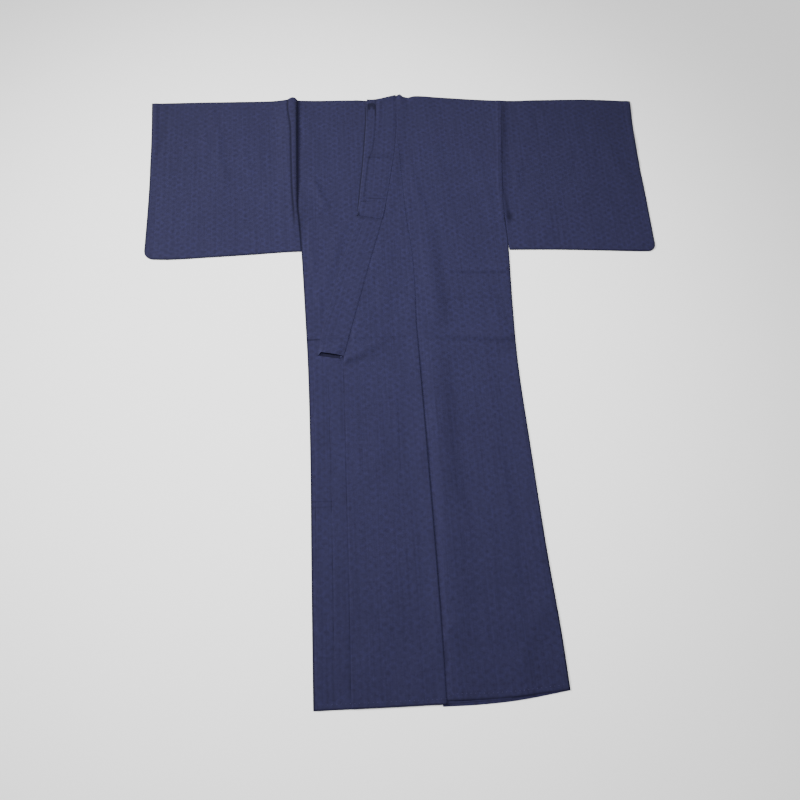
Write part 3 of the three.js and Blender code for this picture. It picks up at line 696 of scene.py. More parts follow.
def makeOverlapLeft(look):
    def seam(down):
        return overlapSeam(down) - look["seamOff"]

    columns, rows = gridOf(look["grid"], garment["length"])
    rows = rows[rows > look["start"]]
    x, down = panel(overlapEdge, seam, columns, rows, garment["length"], None, hemRight)
    clear = smooth((x - collarSeam(down) - look["clearOff"]) / look["clearFade"])
    clear = np.where(down < look["clearTo"], clear, 1)
    off = overlapSeam(down) - x
    relief = folds(x, down, look["creases"])
    relief += ridge(down, look["waist"] - look["rollAbove"], *look["roll"])
    relief -= press(down - look["waist"], *look["waistStep"])
    relief += unevenness(x, down, look["waves"])
    # painted shade: the given lines, along the overlap's seam, beside the collar's seam and along the hem's
    # edge
    shadeMarks = folds(x, down, look["lines"])
    shadeMarks += ridge(off, 0, bodyLeftLook["seamMark"], 1) * bodyLeftLook["seamLine"](down)
    beside, *lineShape = look["collarLine"]
    shadeMarks += ridge(x, collarSeam(down) + beside, *lineShape) * (down < garment["sewnTo"])
    shadeMarks += edgeDark * (1 - smooth((down[:, -1:] - down) / edgeReach))
    relief = np.maximum(relief + loft - shadeMarks * loft, 0) * clear * smooth(off / look["seamFade"])
    relief += seamSwell(x, down)
    lift = look["edgeLift"](down) * (1 - smooth((off - look["liftFrom"]) / look["liftFade"]))
    lift *= 1 - look["seamSunk"] * smooth((look["seamReach"] - off) / look["seamReach"])
    freeSide = 1 - look["freeSunk"] * smooth(1 - (x - overlapEdge(down)) / look["freeReach"])
    freeSide = np.where(down > garment["sewnTo"], freeSide, 1)
    low = 2 * layer + (relief + lift * clear) * freeSide
    high = low + wall * np.where(freeSide < 1, 1 - look["freeThin"] + look["freeThin"] * freeSide, 1)
    return sheetPiece("overlapLeft", x, down, low, high, x, down, shadeMarks=shadeMarks)


# a plain layer that nothing shows of
def makeHidden(name, left, right, rows, low):
    x, down = panel(left, right, np.linspace(0, 1, 5), rows, garment["length"])
    base = np.full_like(x, low)
    return sheetPiece(name, x, down, base, base + wall, x, down)


collarLook = dict(
    grid=dict(width=0.075, coarse=0.0035, fine=0.0011, near=(0, 0.02, 0.073), reach=0.003,
              rowCoarse=0.007, rowFine=0.0014, rowNear=(0, 0.332, 0.387, 0.733, 0.767), rowReach=0.008),
    # the seam's stitches show only as dots of painted shade along it, tackPitch apart
    tackPitch=0.011,    # the seam's stitches pull the cloth down this far apart
    foldRadius=0.003,
    end=0.7792, endX=-0.2, endSlope=0.2,    # how far down it ends, at which x, and how it slants
    # the open end: how far up it starts to rise, how high it stands, and how far the upper layer is short
    liftFrom=0.045, mouth=0.0038, lipBack=0.0075, lipFrom=0.05,
    mouthSide=0.04, mouthFade=0.12, lipFade=0.035, liftFade=0.3,    # shares of the width
    roll=(0.728, 0.01, 0.0005), waves=((0.08, 0.0005, 17),), pressedLine=(0.733, 0.003, 0.15),
    seamLine=(0.0026, 0.3), seamSunk=0.0004, seamReach=0.0025,
    # the relief ends beside the seam and below the over-collar, and how far it may sink
    reliefTo=0.072, reliefToFade=0.01, reliefFrom=0.4, reliefFromFade=0.02, reliefSunk=0.0002,
    top=line((-0.09, 0.004), (-0.063, 0.005), (-0.029, 0.014), (-0.005, 0.021)),
    # the line that the turned edge inside prints through: its half width, and how deep it is and how dark its
    # painted shade
    embossed=line((0, 0.019), (0.17, 0.022), (0.3, 0.02), (0.5, 0.016), (0.771, 0.012)),
    embossedShape=(0.0022, 0.0003), embossedMark=(0.002, 0.15), embossedFrom=0.38,
    # painted shadow below the over-collar's end: across, down, half width and how dark
    underEnd=[[(-0.128, 0.387, 0.008, 0.45), (-0.1, 0.393, 0.008, 0.3), (-0.062, 0.401, 0.008, 0.15)]],
)


def makeCollarLeft(look):
    def sewnEdge(down):
        return np.minimum(collarSeam(down), overlapEdge(down) + garment["tuck"])

    def underEdge(down):
        return sewnEdge(down) - garment["tuck"] - seamGap

    bottom = slantOf(look)
    columns, rows = gridOf(look["grid"], look["end"])
    back = panel(collarFold, underEdge, columns, rows, look["end"], look["top"], bottom)
    front = panel(collarFold, sewnEdge, columns, rows, look["end"], look["top"], bottom)
    x, down = front
    low = np.full_like(x, 2 * layer)
    span = np.clip((x - collarFold(down)) / (collarSeam(down) - collarFold(down)), 0, 1)
    # the upper layer ends a little short of the lower one, so the open end shows its inside
    fromSide = smooth((span - look["mouthSide"]) / look["mouthFade"])
    mouth = fromSide * smooth((1 - span) / look["lipFade"])
    rise = fromSide * smooth((1 - span) / look["liftFade"])
    atEnd = smooth((down - look["end"] + look["lipFrom"]) / look["lipFrom"])
    down = down - look["lipBack"] * mouth * atEnd
    front = x, down
    lift = smooth((down - look["end"] + look["liftFrom"]) / look["liftFrom"]) * look["mouth"]
    fromFold = x - collarFold(down)
    relief = ridge(down, *look["roll"]) + unevenness(x, down, look["waves"])
    relief -= ridge(fromFold, look["embossed"](down), *look["embossedShape"])
    relief *= smooth((look["reliefTo"] - fromFold) / look["reliefToFade"])
    relief *= smooth((down - look["reliefFrom"]) / look["reliefFromFade"])
    top = 3 * layer + wall + lift * rise + np.maximum(relief, -look["reliefSunk"])
    toSeam = np.abs(x - sewnEdge(down))
    top -= look["seamSunk"] * (1 - smooth(toSeam / look["seamReach"]))
    closed = closedRim(columns, rows, left=True, top=True)
    pulled = 0.5 + 0.5 * np.sin(down * 2 * pi / look["tackPitch"])
    # painted shade: in dots along the seam, in the pressed line, below the over-collar's end and on the
    # printed-through line
    shadeMarks = ridge(toSeam, 0, *look["seamLine"]) * pulled + ridge(down, *look["pressedLine"])
    shadeMarks += folds(x, down, look["underEnd"])
    printed = ridge(fromFold, look["embossed"](down), *look["embossedMark"])
    shadeMarks += printed * (down > look["embossedFrom"])
    grain = grainOf(back, front, origin=collarFold)
    # the open end's inside is painted in deep shade
    return foldedPiece("collarLeft", back, front, low, top, closed, look["foldRadius"], grain, shadeMarks,
                       inside=0.94)


overCollarLook = dict(
    grid=dict(width=0.075, coarse=0.0028, fine=0.0011, near=(0, 0.011, 0.023, 0.075), reach=0.004,
              rowCoarse=0.005, rowFine=0.0013, rowNear=(0.01, 0.035, 0.2, 0.325, 0.338, 0.379),
              rowReach=0.007),
    end=0.379, endX=-0.152, endSlope=0.2, waves=((0.09, 0.0004, 19),),
    # the crease down its middle: the step beside it, its line of painted shade, and how far down it ends
    innerStep=(0.0004, 0.02), innerMark=(-0.0008, 0.0044, 0.32), innerEnd=0.33, innerFade=0.01,
    # how far the cloth sinks in its marks, at the seam and at the most, and thins at its end
    seamMark=(0, 0.0016, 0.15), markSunk=0.0004, seamSunk=0.0009, seamReach=0.008, mostSunk=0.00035,
    foldFade=0.006, thinReach=0.006, thinLow=0.0003, thinHigh=0.0007,
    inner=line((0, 0.0235), (0.06, 0.0245), (0.17, 0.0215), (0.19, 0.017), (0.215, 0.0125), (0.27, 0.011),
               (0.33, 0.0105), (0.379, 0.0105)),
    lines=[
        [(-0.094, 0.2, 0.0045, 0.45), (-0.06, 0.2, 0.006, 0.35), (-0.03, 0.2, 0.006, 0.2)],
        [(-0.092, 0.19, 0.009, 0.15), (-0.035, 0.19, 0.009, 0.2)],
        [(-0.1, 0.332, 0.0028, 0.7), (-0.051, 0.336, 0.0028, 0.55)],
        [(-0.114, 0.342, 0.0028, 0.7), (-0.092, 0.343, 0.0028, 0.4)],
        [(-0.1245, 0.376, 0.0095, 0.9), (-0.1225, 0.386, 0.0095, 0.9)],
    ],
    rolls=[
        [(-0.103, 0.3215, 0.0028, 0.0007), (-0.049, 0.325, 0.0028, 0.0007)],
        [(-0.1, 0.338, 0.0028, 0.0006), (-0.05, 0.342, 0.0028, 0.0006)],
        [(-0.07, 0.006, 0.012, 0.0012), (-0.02, -0.006, 0.014, 0.0012), (-0.004, -0.016, 0.01, 0.0014)],
        [(-0.052, 0.012, 0.011, 0.0012), (-0.055, 0.05, 0.01, 0.0008), (-0.06, 0.12, 0.01, 0.0003)],
    ],
    # the mouth of the fold at the neck, painted as a patch of shadow that also sinks the cloth a little:
    # across, down, half sizes, and how dark
    mouth=dict(place=(-0.0745, 0.0225), size=(0.0145, 0.0145), core=0.2, fade=0.8, dark=0.92),
    # a paler oval left inside the painted shadow, and arms of painted shadow down its sides
    oval=[(-0.0735, 0.0265, 0.0075, 0.75), (-0.0745, 0.036, 0.0075, 1), (-0.076, 0.06, 0.006, 1)],
    arms=[
        [(-0.0855, 0.02, 0.0055, 1), (-0.088, 0.05, 0.0045, 0.9), (-0.0895, 0.08, 0.003, 0.3)],
        [(-0.063, 0.02, 0.003, 0.9), (-0.0645, 0.055, 0.003, 0.5), (-0.066, 0.07, 0.002, 0)],
    ],
    toe=line((0, 0.0004), (0.03, 0.0042), (0.2, 0.0044), (0.35, 0.004), (0.379, 0.0012)),
    # the strip turns down over the collar's fold and its lower edge lies on the cloth below. More grid lines,
    # from that edge up: heights of the two faces, how far out they lie, face to face, and how much painted
    # shade they get
    hang=[
        (2.08 * layer, 2.08 * layer + wall * 0.5, 1.0, 0.0002, 0.9),
        (2.2 * layer, 2.2 * layer + wall, 0.4, 0.0003, 1.0),
        (3.2 * layer, 3.4 * layer, 0.1, wall, 0.6),
        (4 * layer, 4 * layer + wall * 0.5, 0, wall * 0.75, 0.0),
    ],
)


def makeOverCollar(look):
    bottom = slantOf(look)
    columns, rows = gridOf(look["grid"], look["end"])
    x, down = panel(collarFold, collarSeam, columns, rows, look["end"], collarLook["top"], bottom)
    fromFold = x - collarFold(down)
    toSeam = collarSeam(down) - x
    inner = fromFold - look["inner"](down)
    above = 1 - smooth((down - look["innerEnd"]) / look["innerFade"])
    bulge = unevenness(x, down, look["waves"]) + folds(x, down, look["rolls"])
    bulge += press(-inner, *look["innerStep"]) * above
    # painted shade: the given lines, beside the middle crease and the seam, in the neck's mouth and along the
    # top edge
    shadeMarks = folds(x, down, look["lines"])
    shadeMarks += ridge(inner, *look["innerMark"]) * above
    shadeMarks += ridge(toSeam, *look["seamMark"])
    mouth = look["mouth"]
    (atX, atDown), (sizeX, sizeDown) = mouth["place"], mouth["size"]
    reach = np.abs((x - atX) / sizeX) ** 3 + np.abs((down - atDown) / sizeDown) ** 3
    paintedMouthShade = (1 - smooth((reach - mouth["core"]) / mouth["fade"])) * mouth["dark"]
    paintedMouthShade = np.maximum(paintedMouthShade * (1 - folds(x, down, [look["oval"]])), folds(x, down, look["arms"]))
    shadeMarks += paintedMouthShade + edgeDarkLit * (1 - smooth((down - down[:, :1]) / edgeReach))
    sunk = look["seamSunk"] * (1 - smooth(toSeam / look["seamReach"]))
    bulge = np.maximum(bulge - shadeMarks * look["markSunk"] - sunk, -look["mostSunk"])
    bulge *= smooth(fromFold / look["foldFade"])
    # the sewn end thins out, and the strip's own grid starts at the fold
    thin = 1 - smooth((look["end"] + bottom(x) - down) / look["thinReach"])
    edge, toe = x[:1] - seamGap, look["toe"](down[:1])
    parts = dict(xLow=[], xHigh=[], low=[], high=[], shadeMarks=[], down=[])
    for lowAt, highAt, out, back, dark in look["hang"]:
        parts["xLow"].append(edge - toe * out)
        parts["xHigh"].append(edge - toe * out - back)
        parts["low"].append(np.full_like(edge, lowAt))
        parts["high"].append(np.full_like(edge, highAt))
        parts["shadeMarks"].append(np.full_like(edge, dark))
        parts["down"].append(down[:1])
    rest = dict(xLow=x, xHigh=x, low=4 * layer + bulge - thin * look["thinLow"],
                high=4 * layer + wall + bulge - thin * look["thinHigh"], shadeMarks=shadeMarks, down=down)
    whole = {key: np.concatenate(parts[key] + [rest[key][1:]]) for key in parts}
    x, down = whole["xLow"], whole["down"]
    return sheetPiece("overCollar", x, down, whole["low"], whole["high"], x - collarFold(down), down,
                      whole["xHigh"], whole["shadeMarks"])


# sRGB hex to linear
def linear(code):
    parts = [int(code[i:i + 2], 16) / 255 for i in (1, 3, 5)]
    return tuple(p / 12.92 if p <= 0.04045 else ((p + 0.055) / 1.055) ** 2.4 for p in parts) + (1,)


# adds a node; inputs are values or other nodes' sockets, by socket name or number
def addNode(tree, kind, inputs=None, **settings):
    node = tree.nodes.new(kind)
    for key, value in settings.items():
        setattr(node, key, value)
    for key, value in (inputs or {}).items():
        if isinstance(value, bpy.types.NodeSocket):
            tree.links.new(value, node.inputs[key])
        else:
            node.inputs[key].default_value = value
    return node


navyCotton = dict(
    ground="#1f1e37", dot="#1a1830", outline="#22213f", fibre="#151328", slub="#252441", shadow="#070619",
    dust="#8f95c4",
    column=0.0128, repeat=0.0175,    # the small woven repeat: between columns, and along one
    dotSize=0.0046, thread=0.0011,   # real threads are about 0.35 mm apart, drawn coarser so that they show
    slip=0.012, slipScale=(62, 62),  # hand-tied yarn never lines up quite, so each dot sits a little off
    # unevenness: repeats to the metre across and down, detail and roughness
    patterns=dict(
        patchiness=(48, 42, 3, 0.6), streak=(240, 3.5, 3, 0.6), slub=(260, 420, 4, 0.65),
        cloud=(9, 9, 2, 0.5), mottle=(105, 125, 3, 0.7)),
    # how each one tints the cloth: from which value to which, how much, and with which colour
    tints=(("streak", 0.4, 0.72, 0.3, "fibre"), ("mottle", 0.5, 0.28, 0.5, "fibre"),
           ("mottle", 0.52, 0.74, 0.6, "slub"), ("slub", 0.5, 0.75, 0.4, "slub"),
           ("cloud", 0.4, 0.75, 0.12, "fibre")),
    dotShare=0.9, shadowShare=0.85, roughness=0.88, sheen=0.06,
)


# Plain-woven cotton in yarns dyed before weaving: matt, faintly dusty at a slant, with a staggered
# small repeat of darker dots in paler outlines, and slubs and streaks that run down the cloth.
def makeNavyCotton(name, look):
    material = bpy.data.materials.new(name)
    material.use_nodes = True
    tree = material.node_tree
    tree.nodes.clear()
    uv = addNode(tree, "ShaderNodeUVMap", uv_map="cloth").outputs[0]

    noise = {}
    for title, (across, along, detail, rough) in look["patterns"].items():
        place = addNode(tree, "ShaderNodeMapping", {"Vector": uv, "Scale": (across, along, 1)})
        noise[title] = addNode(tree, "ShaderNodeTexNoise", {
            "Vector": place.outputs[0], "Scale": 1.0, "Detail": detail, "Roughness": rough}).outputs["Fac"]

    # the staggered repeat: distance to the nearest dot of either set of columns
    slipPlace = addNode(tree, "ShaderNodeMapping", {"Vector": uv, "Scale": (*look["slipScale"], 1)})
    slip = addNode(tree, "ShaderNodeTexNoise", {"Vector": slipPlace.outputs[0], "Scale": 1.0, "Detail": 2.0})
    slip = addNode(tree, "ShaderNodeVectorMath", {0: slip.outputs["Color"], 1: (0.5, 0.5, 0.5)},
                   operation="SUBTRACT")
    slipped = addNode(tree, "ShaderNodeVectorMath", {
        0: slip.outputs[0], 1: (look["slip"], look["slip"], 0), 2: uv}, operation="MULTIPLY_ADD")
    halfRepeat = look["repeat"] / 2
    dots, outlines = [], []
    for side, share in ((-1, 1.0), (0, 0.75)):      # every second column, half a repeat apart
        moved = addNode(tree, "ShaderNodeVectorMath", {
            0: slipped.outputs[0], 1: (side * look["column"], side * halfRepeat, 0)}, operation="ADD")
        wrapped = addNode(tree, "ShaderNodeVectorMath", {
            0: moved.outputs[0], 1: (look["column"], halfRepeat, 1), 2: (-look["column"], -halfRepeat, -1)},
            operation="WRAP")
        off = addNode(tree, "ShaderNodeVectorMath", {0: wrapped.outputs[0]}, operation="LENGTH")
        dots.append(addNode(tree, "ShaderNodeMapRange", {
            "Value": off.outputs["Value"], "From Min": look["dotSize"], "From Max": look["dotSize"] * 0.35,
            "To Max": share}, interpolation_type="SMOOTHSTEP").outputs[0])
        outlines.append(off.outputs["Value"])
    nearest = addNode(tree, "ShaderNodeMath", {0: outlines[0], 1: outlines[1]}, operation="MINIMUM")
    outline = addNode(tree, "ShaderNodeMapRange", {
        "Value": nearest.outputs[0], "From Min": look["dotSize"] * 1.05, "From Max": look["dotSize"] * 1.75},
        interpolation_type="SMOOTHSTEP")

    # the repeat shows unevenly, and less towards the hem
    down = addNode(tree, "ShaderNodeSeparateXYZ", {0: uv})
    patchy = addNode(tree, "ShaderNodeMapRange", {
        "Value": noise["patchiness"], "From Min": 0.36, "From Max": 0.66, "To Min": 0.2},
        interpolation_type="SMOOTHSTEP")
    fading = addNode(tree, "ShaderNodeMapRange", {
        "Value": down.outputs[1], "From Min": 0.55, "From Max": 1.1, "To Min": 1.0, "To Max": 0.6},
        interpolation_type="SMOOTHSTEP")
    shadedSidesAndPatternFade = addNode(tree, "ShaderNodeMath", {0: patchy.outputs[0], 1: fading.outputs[0]},
                   operation="MULTIPLY")
    bothDots = addNode(tree, "ShaderNodeMath", {0: dots[0], 1: dots[1]}, operation="ADD")
    dotMask = addNode(tree, "ShaderNodeMath", {0: bothDots.outputs[0], 1: shadedSidesAndPatternFade.outputs[0]},
                      operation="MULTIPLY")
    outlineMask = addNode(tree, "ShaderNodeMath", {0: outline.outputs[0], 1: shadedSidesAndPatternFade.outputs[0]},
                          operation="MULTIPLY")
    dotShare = addNode(tree, "ShaderNodeMath", {0: dotMask.outputs[0], 1: look["dotShare"]},
                       operation="MULTIPLY")
    # painted shade: the mesh's attribute mixes the cloth towards the near-black shadow colour in seams,
    # creases, folds and along edges
    paintedShade = addNode(tree, "ShaderNodeAttribute", attribute_type="GEOMETRY", attribute_name="paintedShade")
    shadow = addNode(tree, "ShaderNodeMath", {0: paintedShade.outputs["Fac"], 1: look["shadowShare"]},
                     operation="MULTIPLY")

    masks = [(outlineMask.outputs[0], "outline"), (dotShare.outputs[0], "dot")]
    for title, low, high, share, colour in look["tints"]:
        mask = addNode(tree, "ShaderNodeMapRange", {
            "Value": noise[title], "From Min": low, "From Max": high, "To Max": share},
            interpolation_type="SMOOTHSTEP")
        masks.append((mask.outputs[0], colour))
    masks.append((shadow.outputs[0], "shadow"))
    shade = linear(look["ground"])
    for mask, colour in masks:
        shade = addNode(tree, "ShaderNodeMix", {"Factor": mask, 6: shade, 7: linear(look[colour])},
                        data_type="RGBA").outputs[2]

    # plain weave: each yarn over one and under one
    turns = addNode(tree, "ShaderNodeVectorMath", {0: uv, "Scale": 2 * pi / look["thread"]},
                    operation="SCALE")
    yarns = addNode(tree, "ShaderNodeVectorMath", {0: turns.outputs[0]}, operation="SINE")
    yarns = addNode(tree, "ShaderNodeSeparateXYZ", {0: yarns.outputs[0]})
    weave = addNode(tree, "ShaderNodeMath", {0: yarns.outputs[0], 1: yarns.outputs[1]},
                    operation="MULTIPLY")
    slubs = addNode(tree, "ShaderNodeMath", {0: noise["slub"], 1: 1.2}, operation="MULTIPLY")
    raised = addNode(tree, "ShaderNodeMath", {0: weave.outputs[0], 1: 0.5, 2: slubs.outputs[0]},
                     operation="MULTIPLY_ADD")
    height = addNode(tree, "ShaderNodeMath", {0: dotMask.outputs[0], 1: -0.5, 2: raised.outputs[0]},
                     operation="MULTIPLY_ADD")
    bump = addNode(tree, "ShaderNodeBump", {
        "Height": height.outputs[0], "Strength": 0.35, "Distance": 0.00025})
    cloth = addNode(tree, "ShaderNodeBsdfPrincipled", {
        "Base Color": shade, "Roughness": look["roughness"], "Normal": bump.outputs[0], "IOR": 1.46,
        "Sheen Weight": look["sheen"], "Sheen Roughness": 0.45, "Sheen Tint": linear(look["dust"]),
        "Specular IOR Level": 0.16})
    addNode(tree, "ShaderNodeOutputMaterial", {0: cloth.outputs[0]})
    return material


# the thread's two plies are twisted every 0.8 mm; the twist is painted as bands of a darker and a paler shade
# of the one thread colour, standing for the shade between the plies
sewingThread = dict(low="#272644", high="#353457", twist=0.0008, distortion=0.6, roughness=0.7, specular=0.2)


# Spun cotton sewing thread that matches the cloth: matt, a little paler than it, and twisted
def makeThread(name, look):
    material = bpy.data.materials.new(name)
    material.use_nodes = True
    tree = material.node_tree
    shader = tree.nodes["Principled BSDF"]
    place = addNode(tree, "ShaderNodeTexCoord")
    # a wave of scale 1 repeats every 2 pi / 20
    twist = addNode(tree, "ShaderNodeTexWave", {
        "Vector": place.outputs["Object"], "Scale": 2 * pi / 20 / look["twist"],
        "Distortion": look["distortion"]})
    shade = addNode(tree, "ShaderNodeValToRGB", {"Fac": twist.outputs["Fac"]})
    shade.color_ramp.elements[0].color = linear(look["low"])
    shade.color_ramp.elements[1].color = linear(look["high"])
    tree.links.new(shade.outputs[0], shader.inputs["Base Color"])
    shader.inputs["Roughness"].default_value = look["roughness"]
    shader.inputs["Specular IOR Level"].default_value = look["specular"]
    return material


# how far each front hem lies below the garment's length, by x
frontHem = line((-0.245, -0.003), (-0.08, 0), (0.008, 0.001), (0.02, -0.002), (0.12, 0.001), (0.25, -0.005))

stitchLook = dict(
    spacing=0.0085, length=0.0022, width=0.0009, unevenness=0.25, seed=5,
    cuffInset=0.0065, cuffFrom=0.008, cuffTo=0.47,      # from the cuff's edge, and down it
    # the hem's path: how far up and in from the edges, and how far down on each side of its middle
    hemInset=0.0085, hemEnds=0.01, hemAt=1.5, hemMiddle=0.01, hemDown=(1.5105, 1.5065),
    step=0.004, above=0.0002,       # points of the path, and how high the thread's middle lies
)


# A line of prick stitches along a path: thread spheres drawn long, set at even steps along the path and
# turned to follow it, each a little different in size.
def stitchTree(thread, look):
    tree = bpy.data.node_groups.new("prickStitches", "GeometryNodeTree")
    tree.interface.new_socket("Path", in_out="INPUT", socket_type="NodeSocketGeometry")
    for title, value in (("Spacing", look["spacing"]), ("Stitch Length", look["length"]),
                         ("Thread Width", look["width"]), ("Unevenness", look["unevenness"])):
        socket = tree.interface.new_socket(title, in_out="INPUT", socket_type="NodeSocketFloat")
        socket.default_value = value
    seed = tree.interface.new_socket("Seed", in_out="INPUT", socket_type="NodeSocketInt")
    seed.default_value = look["seed"]
    tree.interface.new_socket("Stitches", in_out="OUTPUT", socket_type="NodeSocketGeometry")
    given = addNode(tree, "NodeGroupInput").outputs
    curve = addNode(tree, "GeometryNodeMeshToCurve", {"Mesh": given["Path"]})
    points = addNode(tree, "GeometryNodeCurveToPoints", {
        "Curve": curve.outputs[0], "Length": given["Spacing"]}, mode="LENGTH")
    halfLength = addNode(tree, "ShaderNodeMath", {0: given["Stitch Length"], 1: 0.5}, operation="MULTIPLY")
    halfWidth = addNode(tree, "ShaderNodeMath", {0: given["Thread Width"], 1: 0.5}, operation="MULTIPLY")
    size = addNode(tree, "ShaderNodeCombineXYZ", {
        0: halfWidth.outputs[0], 1: halfWidth.outputs[0], 2: halfLength.outputs[0]})
    grain = addNode(tree, "GeometryNodeMeshUVSphere", {"Segments": 8, "Rings": 6, "Radius": 1.0})
    stitch = addNode(tree, "GeometryNodeTransform", {"Geometry": grain.outputs[0], "Scale": size.outputs[0]})
    least = addNode(tree, "ShaderNodeMath", {0: 1.0, 1: given["Unevenness"]}, operation="SUBTRACT")
    vary = addNode(tree, "FunctionNodeRandomValue", {"Seed": given["Seed"]}, data_type="FLOAT")
    tree.links.new(least.outputs[0], vary.inputs[2])
    vary.inputs[3].default_value = 1.0
    placed = addNode(tree, "GeometryNodeInstanceOnPoints", {
        "Points": points.outputs["Points"], "Instance": stitch.outputs[0],
        "Rotation": points.outputs["Rotation"], "Scale": vary.outputs[1]})
    real = addNode(tree, "GeometryNodeRealizeInstances", {0: placed.outputs[0]})
    painted = addNode(tree, "GeometryNodeSetMaterial", {"Geometry": real.outputs[0], "Material": thread})
    output = addNode(tree, "NodeGroupOutput")
    tree.links.new(painted.outputs[0], output.inputs[0])
    return tree


# the points of a path, laid on the pieces below it
def onCloth(cloths, x, down, above):
    places = toRow(x, down, np.zeros_like(x))
    graph = bpy.context.evaluated_depsgraph_get()
    trees = [BVHTree.FromObject(cloth, graph) for cloth in cloths]
    points = []
    for place in places:
        hits = [tree.ray_cast(Vector((place[0], place[1], 0.1)), Vector((0, 0, -1)))[0] for tree in trees]
        heights = [hit.z for hit in hits if hit]
        if heights:
            points.append((place[0], place[1], max(heights) + above))
    return points


def makeStitches(look, thread, cloths):
    paths = []
    for cuff, sign in ((cuffRight, 1), (cuffLeft, -1)):
        down = np.arange(look["cuffFrom"], look["cuffTo"], look["step"])
        paths.append((cuff(down) + sign * look["cuffInset"], down))
    left, right = sideRight(look["hemAt"]) + look["hemEnds"], sideLeft(look["hemAt"]) - look["hemEnds"]
    across = np.arange(left, right, look["step"])
    hemDown = np.where(across < look["hemMiddle"], *look["hemDown"])
    paths.append((across, hemDown + frontHem(across) - look["hemInset"]))
    points, edges = [], []
    for x, down in paths:
        laid = onCloth(cloths, x, down, look["above"])
        edges += [(len(points) + n, len(points) + n + 1) for n in range(len(laid) - 1)]
        points += laid
    mesh = bpy.data.meshes.new("stitchPaths")
    mesh.from_pydata(points, edges, [])
    carrier = addObject("stitchPaths", mesh)
    tree = stitchTree(thread, look)
    made = carrier.modifiers.new("stitches", "NODES")
    made.node_group = tree
    named = {item.name: item.identifier for item in tree.interface.items_tree if item.in_out == "INPUT"}
    made[named["Spacing"]] = look["spacing"]
    made[named["Seed"]] = look["seed"]
    graph = bpy.context.evaluated_depsgraph_get()
    plain = bpy.data.meshes.new_from_object(carrier.evaluated_get(graph))
    carrier.modifiers.remove(made)
    bpy.data.objects.remove(carrier)
    return addObject("hemStitches", plain)


knotLook = dict(place=(-0.1756, 0.779), ring=0.0013, thread=0.00055, around=18, through=8)


# the small thread loop that holds the collar's open end
def makeKnot(look, thread, cloths):
    x, down = np.array([look["place"][0]]), np.array([look["place"][1]])
    middle = Vector(onCloth(cloths, x, down, look["thread"])[0])
    around, through = look["around"], look["through"]
    points, faces = [], []
    for n in range(around):
        turn = 2 * pi * n / around
        for m in range(through):
            lean = 2 * pi * m / through
            reach = look["ring"] + look["thread"] * cos(lean)
            points.append(middle + Vector((reach * cos(turn), reach * sin(turn), look["thread"] * sin(lean))))
            here, there = n * through, (n + 1) % around * through
            after = (m + 1) % through
            faces.append((here + m, there + m, there + after, here + after))
    mesh = bpy.data.meshes.new("collarEndLoop")
    mesh.from_pydata(points, [], faces)
    mesh.polygons.foreach_set("use_smooth", np.ones(len(faces), bool))
    mesh.materials.append(thread)
    return addObject("collarEndLoop", mesh)


# over the lower front, looking a little towards the shoulders
viewCamera = dict(place=(-0.130, -0.623, 1.2688), turn=(20.884, -2.654, -3.334), lens=27.0)


def makeCamera(look):
    camera = addObject("camera", bpy.data.cameras.new("camera"))
    camera.data.lens = look["lens"]
    camera.data.sensor_width = 36
    camera.location = look["place"]
    camera.rotation_euler = [radians(a) for a in look["turn"]]
    camera.data.clip_start = 0.01
    bpy.context.scene.camera = camera


studio = dict(
    floor="#f6f6f6", floorSize=9.0, floorHeight=-0.0004, world=0.36,
    sunFrom=(-0.86, 0.34, 0.42), sunPower=5.8, sunAngle=15.0,      # low, from the upper left
    spotPlace=(-0.5, 0.36, 3.0), spotAim=(-0.31, 0.08, 0), spotPower=660, spotCone=56.0, spotRadius=0.45,
)


def addLight(kind, name, place, towards, energy, **settings):
    lamp = bpy.data.lights.new(name, kind)
    lamp.energy = energy
    for key, value in settings.items():
        setattr(lamp, key, value)
    light = addObject(name, lamp)
    light.location = place
    light.rotation_euler = (Vector(towards) - Vector(place)).to_track_quat("-Z", "Y").to_euler()


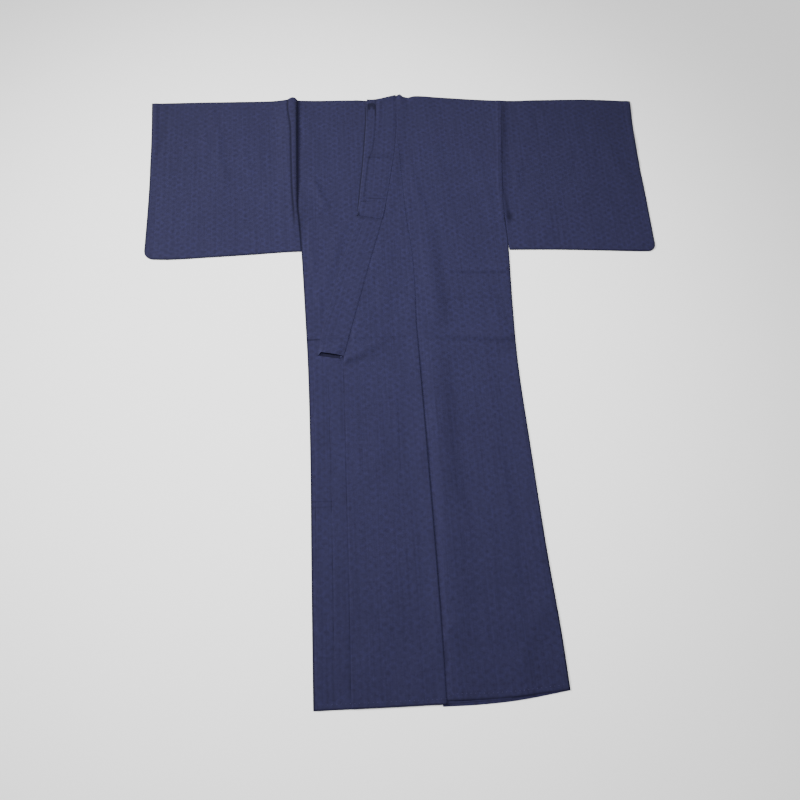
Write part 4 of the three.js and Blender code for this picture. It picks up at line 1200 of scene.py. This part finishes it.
def makeStudio(look):
    half = look["floorSize"] / 2
    mesh = bpy.data.meshes.new("floor")
    corners = ((-half, -half), (half, -half), (half, half), (-half, half))
    mesh.from_pydata([(x, y, look["floorHeight"]) for x, y in corners], [], [(0, 1, 2, 3)])
    floor = addObject("floor", mesh)
    paper = bpy.data.materials.new("mattWhitePaper")
    paper.use_nodes = True
    shader = paper.node_tree.nodes["Principled BSDF"]
    shader.inputs["Base Color"].default_value = linear(look["floor"])
    shader.inputs["Roughness"].default_value = 0.95
    mesh.materials.append(paper)
    addLight("SUN", "window", look["sunFrom"], (0, 0, 0), look["sunPower"], angle=radians(look["sunAngle"]))
    addLight("SPOT", "overhead", look["spotPlace"], look["spotAim"], look["spotPower"],
             spot_size=radians(look["spotCone"]), spot_blend=1.0, shadow_soft_size=look["spotRadius"])
    world = bpy.data.worlds.new("softWhite")
    world.use_nodes = True
    world.node_tree.nodes["Background"].inputs[0].default_value = (1, 1, 1, 1)
    world.node_tree.nodes["Background"].inputs[1].default_value = look["world"]
    bpy.context.scene.world = world


makeCamera(viewCamera)
print("camera made")
makeStudio(studio)
print("studio made")
cotton = makeNavyCotton("navyCottonYarnDyedPlainWeave", navyCotton)
print("cloth material made")

hiddenRows = spacing(garment["length"], 0.02, 0.01, (0,), 0.001)
# each piece: its object, the node it stands for, its cut and what it lies on
pieces = [
    (makeBodyRight(bodyRightLook), "body_right", (0.29, 3.06), 0.80, ["floor"]),
    (makeBodyLeft(bodyLeftLook), "body_left", (0.30, 3.06), 0.80, ["floor"]),
    (makeSleeve("right", sleeveLook), "sleeve_right", (0.40, 1.03), None, ["floor"]),
    (makeSleeve("left", sleeveLook), "sleeve_left", (0.41, 1.03), None, ["floor"]),
    (makeOverlapLeft(overlapLook), "overlap_left", (0.19, 1.40), 0.21, ["bodyRight"]),
    (makeHidden("overlapRight", underSeam, underOverlapEdge, hiddenRows[hiddenRows >= 0.265], layer),
     "overlap_right", (0.16, 1.25), 0.15, ["bodyRight"]),
    (makeCollarLeft(collarLook), "collar_left", (0.16, 0.80), None, ["overlapLeft"]),
    (makeHidden("collarRight", underCollarEdge, underCollarFold, hiddenRows[hiddenRows <= 0.755], layer),
     "collar_right", (0.08, 0.76), None, ["bodyRight"]),
    (makeOverCollar(overCollarLook), "over_collar", (0.08, 0.43), None, ["collarLeft"]),
]
for piece, node, cut, area, under in pieces:
    piece.data.materials.append(cotton)
    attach(piece, "root")
    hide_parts(node)
    print("piece made:", piece.name, len(piece.data.polygons) * 2, "triangles")

thread = makeThread("cottonSewingThread", sewingThread)
stitches = makeStitches(stitchLook, thread, [piece for piece, *_ in pieces])
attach(stitches, "root")
print("stitches made:", len(stitches.data.polygons), "faces")
beside = [piece for piece, *_ in pieces if piece.name in ("collarLeft", "overlapLeft", "bodyRight")]
loop = makeKnot(knotLook, thread, beside)
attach(loop, "root")
print("thread loop made")
